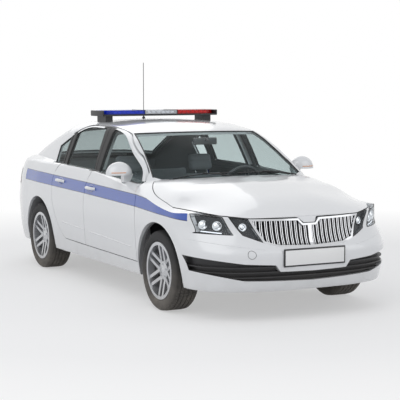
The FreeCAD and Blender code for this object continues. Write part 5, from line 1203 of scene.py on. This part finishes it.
# How deep the stitches pull a pad in: along both bolsters, and shallower across the middle
def channelDepth(x, y, half, bolster, step, margin=0.06, across=0.8):
    near = abs(abs(y) - bolster)
    depth = math.exp(-(near / seat["channelWidth"]) ** 2)
    if abs(y) < bolster and abs(x) < half - margin:
        row = abs((x + step / 2) % step - step / 2)
        depth = max(depth, across * math.exp(-(row / seat["channelWidth"]) ** 2))
    return depth * seat["channel"]


# A pad about the origin: length along X, width along Y, its sewn face towards +Z
def padMesh(name, voxel, sewn=0.4):
    scene = bpy.context.scene
    length, width, thick, bolster, step, taper = padSizes[name]
    inset = 2 * seat["start"]
    start = boxMesh(name, (length - inset, width - inset, thick - inset), bevel=seat["round"], segments=4)
    for vert in start.vertices:
        part = vert.co.x / length + 0.5
        vert.co.y *= 1 - taper * part * part
    holder = bpy.data.objects.new(name, start)
    scene.collection.objects.link(holder)
    remesh = holder.modifiers.new("Remesh", "REMESH")
    remesh.mode = "VOXEL"
    remesh.voxel_size = voxel
    fine = finishedMesh(holder)
    holder.modifiers.remove(remesh)
    holder.data = fine
    before = [vert.co.copy() for vert in fine.vertices]
    cloth = holder.modifiers.new("Cloth", "CLOTH")
    cloth.settings.use_pressure = True
    cloth.settings.uniform_pressure_force = seat["pressure"]
    cloth.settings.effector_weights.gravity = 0.0
    cloth.point_cache.frame_end = seat["frames"]
    for frameNumber in range(1, seat["frames"] + 1):
        scene.frame_set(frameNumber)
    swollen = finishedMesh(holder)
    holder.modifiers.remove(cloth)
    for vert, old in zip(swollen.vertices, before):
        move = vert.co - old
        if move.length > seat["cap"]:
            vert.co = old + move * (seat["cap"] / move.length)
    holder.data = swollen
    scene.frame_set(1)
    smooth = holder.modifiers.new("Subdivision", "SUBSURF")
    smooth.levels = 1
    smooth.render_levels = 1
    mesh = finishedMesh(holder)
    bpy.data.objects.remove(holder)
    normals = [vert.normal.copy() for vert in mesh.vertices]
    for vert, normal in zip(mesh.vertices, normals):
        if normal.z > sewn:
            vert.co -= normal * channelDepth(vert.co.x, vert.co.y, length / 2, bolster, step)
    mesh.name = name
    return mesh


# The turn that stands a pad up as a backrest, leaning back by the seats' tilt
def leaning(center):
    lean = math.radians(seat["tilt"])
    turn = Matrix(((-math.sin(lean), 0, math.cos(lean)), (0, -1, 0), (math.cos(lean), 0, math.sin(lean))))
    return Matrix.Translation(center) @ turn.to_4x4()


cushionPad = padMesh("cushion", seat["voxel"])
backPad = padMesh("backrest", seat["voxel"])
headPad = padMesh("headrest", seat["voxel"])
benchPad = padMesh("benchCushion", seat["benchVoxel"])
benchBackPad = padMesh("benchBackrest", seat["benchVoxel"])


def addPad(name, mesh, place):
    addMesh(name, movedMesh(mesh, place), look["fabric"], "shell", seat["smooth"])


def seatPlace(part, y=0.0):
    x, z = seat[part]
    return x, y, z


for side, sign in sides.items():
    y = seat["out"] * sign
    addPad("seat_cushion_" + side, cushionPad, Matrix.Translation(seatPlace("cushion", y)))
    addPad("seat_backrest_" + side, backPad, leaning(seatPlace("backrest", y)))
    addPad("seat_headrest_" + side, headPad, leaning(seatPlace("headrest", y)))
    base = boxMesh("seat_base", seat["base"], seatPlace("baseAt", y), bevel=seat["baseBevel"], segments=3)
    addMesh("seat_base_" + side, base, look["cabin"], "shell")
    posts = [[(x, y + apart, z) for x, z in seat["posts"]] for apart in (-seat["apart"], seat["apart"])]
    addTube("headrest_posts_" + side, posts, seat["post"], "bright", "shell")
addPad("bench_cushion", benchPad, Matrix.Translation(seatPlace("benchCushion")))
addPad("bench_backrest", benchBackPad, leaning(seatPlace("benchBackrest")))
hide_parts("front_seats")
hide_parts("rear_bench")
print("scene: seats")

# Door cards: an armrest, a pocket, a pull and a speaker ring on the inside of each door
card = {"places": {"front": (0.300, 0.620), "rear": (-0.420, 0.640)}, "from": 0.30, "roundShare": 0.35,
        "proudShare": 0.45, "arm": (0.380, 0.060, 0.050), "pocket": (0.420, 0.030, 0.110),
        "pocketDrop": 0.190, "pull": (0.110, 0.022, 0.022), "pullLift": 0.150,
        "speakerReach": {"front": 0.24, "rear": 0.16},
        "speaker": 0.075, "speakerSteps": 32, "speakerRim": 0.005, "speakerProud": 0.002}


def cardMesh(end, side, sign):
    x, z = card["places"][end]
    skin = doorSkin[end, side]
    parts = []
    for size, level in ((card["arm"], z), (card["pocket"], z - card["pocketDrop"]),
                        (card["pull"], z + card["pullLift"])):
        point, normal = touch(skin, (x, card["from"] * sign, level), (0, sign, 0))
        block = boxMesh("card", size, bevel=min(size) * card["roundShare"], segments=3)
        y = point.y - sign * size[1] * card["proudShare"]
        parts.append(movedMesh(block, Matrix.Translation((x, y, level))))
    place = (x + card["speakerReach"][end], card["from"] * sign, z - card["pocketDrop"])
    point, normal = touch(skin, place, (0, sign, 0))
    rim = [(along, point.y - sign * card["speakerProud"], up)
           for along, up in ringPlaces((point.x, point.z), card["speaker"], card["speakerSteps"])]
    parts.append(tubeMesh("speaker", [rim], card["speakerRim"], closed=True))
    return joinMeshes("card", parts)


for end in ends:
    for side, sign in sides.items():
        addMesh("%s_%s_door_card" % (end, side), cardMesh(end, side, sign), look["cabin"],
                "%s_%s_leaf" % (end, side))

# Dashboard screen and the mirror inside the windscreen
cockpit = {"screen": (0.018, 0.240, 0.140), "screenBevel": 0.006, "proud": 0.004, "drop": 0.100,
           "mirror": (0.020, 0.230, 0.062), "mirrorBevel": 0.008, "level": 1.285, "behind": 0.070,
           "stem": 0.006, "bend": (0.030, 0, 0.020), "foot": (-0.012, 0, 0.004)}
low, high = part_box("dashboard")
panel = boxMesh("screen", cockpit["screen"], (low.x - cockpit["proud"], 0, high.z - cockpit["drop"]),
                bevel=cockpit["screenBevel"], segments=3)
addMesh("dash_screen", panel, look["gloss"], "shell")
point, normal = touch(screen, (beyond["end"], 0, cockpit["level"]), (-1, 0, 0))
place = Vector((point.x - cockpit["behind"], 0, cockpit["level"]))
housing = boxMesh("mirror", cockpit["mirror"], place, bevel=cockpit["mirrorBevel"], segments=3)
stem = tubeMesh("stem", [[place, place + Vector(cockpit["bend"]), point + Vector(cockpit["foot"])]],
                cockpit["stem"])
addMesh("inside_mirror", joinMeshes("mirror", [housing, stem]), look["cabin"], "shell")
print("scene: door cards and cockpit")

# Exhaust tip
tip = {"shape": ((-0.070, 0.0235), (0.006, 0.0260), (0.009, 0.0250), (0.006, 0.0238), (-0.040, 0.0215),
                 (-0.070, 0.0215)), "steps": 36, "place": (-2.322, -0.420, 0.205)}
turn = Matrix.Translation(tip["place"]) @ Matrix.Rotation(math.pi / 2, 4, "Z")
addMesh("exhaust_tip", movedMesh(turnedMesh("tip", tip["shape"], tip["steps"], closed=True), turn),
        look["bright"], "shell")

# Stage: pale floor, soft light and the picture's viewpoint
stage = {
    "floor": (0.84, 0.84, 0.84, 1), "sky": (0.93, 0.95, 1.0, 1), "skyStrength": 0.50,
    "near": 3.4, "fade": 3.5, "veil": 0.45,
    "floorHalf": 60, "camera": (10.243, -5.042, 1.762), "heading": (-0.8856, 0.4555, -0.0906),
    "lens": 112.4, "sensor": 36.0, "farthest": 200.0, "roll": 0.12, "aim": (0.3, 0, 0.6),
    "lamps": {"key": ((4.5, -6.0, 6.5), 8.0, 290.0), "fill": ((7.5, 5.5, 4.0), 7.0, 120.0),
              "back": ((-6.5, 1.0, 6.0), 7.0, 120.0)},
}


# One for rays from the camera, and for those seen in or through shiny and clear pieces
def seenDirectly(tree):
    path = tree.nodes.new("ShaderNodeLightPath")
    shiny = calculate(tree, "MAXIMUM", path.outputs["Is Glossy Ray"], path.outputs["Is Transmission Ray"])
    return calculate(tree, "MAXIMUM", path.outputs["Is Camera Ray"], shiny)


def buildStage():
    scene = bpy.context.scene
    half = stage["floorHalf"]
    corners = [(-half, -half, 0), (half, -half, 0), (half, half, 0), (-half, half, 0)]
    floor = meshFromData("floor", corners, [(0, 1, 2, 3)])
    material = plainMaterial("pale floor", stage["floor"], 0.85, scale=1.5, spread=0.05, depth=0.0)
    tree = material.node_tree
    place = tree.nodes.new("ShaderNodeTexCoord")
    away = tree.nodes.new("ShaderNodeVectorMath")
    away.operation = "LENGTH"
    tree.links.new(place.outputs["Object"], away.inputs[0])
    far = calculate(tree, "DIVIDE", calculate(tree, "SUBTRACT", away.outputs["Value"], stage["near"]),
                    stage["fade"], True)
    veil = calculate(tree, "ADD", calculate(tree, "MULTIPLY", far, 1.0 - stage["veil"]), stage["veil"])
    glow = tree.nodes.new("ShaderNodeEmission")
    seen = calculate(tree, "MULTIPLY", veil, seenDirectly(tree))
    mixShaders(tree, seen, tree.nodes["Principled BSDF"], glow)
    addMesh("floor", floor, material, None)
    world = bpy.data.worlds.new("soft sky")
    scene.world = world
    world.use_nodes = True
    tree = world.node_tree
    background = tree.nodes["Background"]
    seen = seenDirectly(tree)
    feed(tree, background.inputs["Color"], blendColor(tree, seen, stage["sky"], (1, 1, 1, 1)))
    strength = calculate(tree, "ADD", calculate(tree, "MULTIPLY", seen, 1.0 - stage["skyStrength"]),
                         stage["skyStrength"])
    feed(tree, background.inputs["Strength"], strength)
    for name, (place, size, power) in stage["lamps"].items():
        data = bpy.data.lights.new(name, "AREA")
        data.size = size
        data.energy = power
        lamp = bpy.data.objects.new(name, data)
        scene.collection.objects.link(lamp)
        lamp.location = place
        way = Vector(stage["aim"]) - Vector(place)
        lamp.rotation_euler = way.to_track_quat("-Z", "Y").to_euler()
    data = bpy.data.cameras.new("camera")
    data.lens = stage["lens"]
    data.sensor_width = stage["sensor"]
    data.clip_end = stage["farthest"]
    camera = bpy.data.objects.new("camera", data)
    scene.collection.objects.link(camera)
    camera.location = stage["camera"]
    aim = Vector(stage["heading"]).to_track_quat("-Z", "Y").to_matrix().to_4x4()
    aim = aim @ Matrix.Rotation(math.radians(-stage["roll"]), 4, "Z")
    camera.rotation_euler = aim.to_euler()
    scene.camera = camera
    scene.view_settings.view_transform = "Standard"


buildStage()
print("scene: stage")
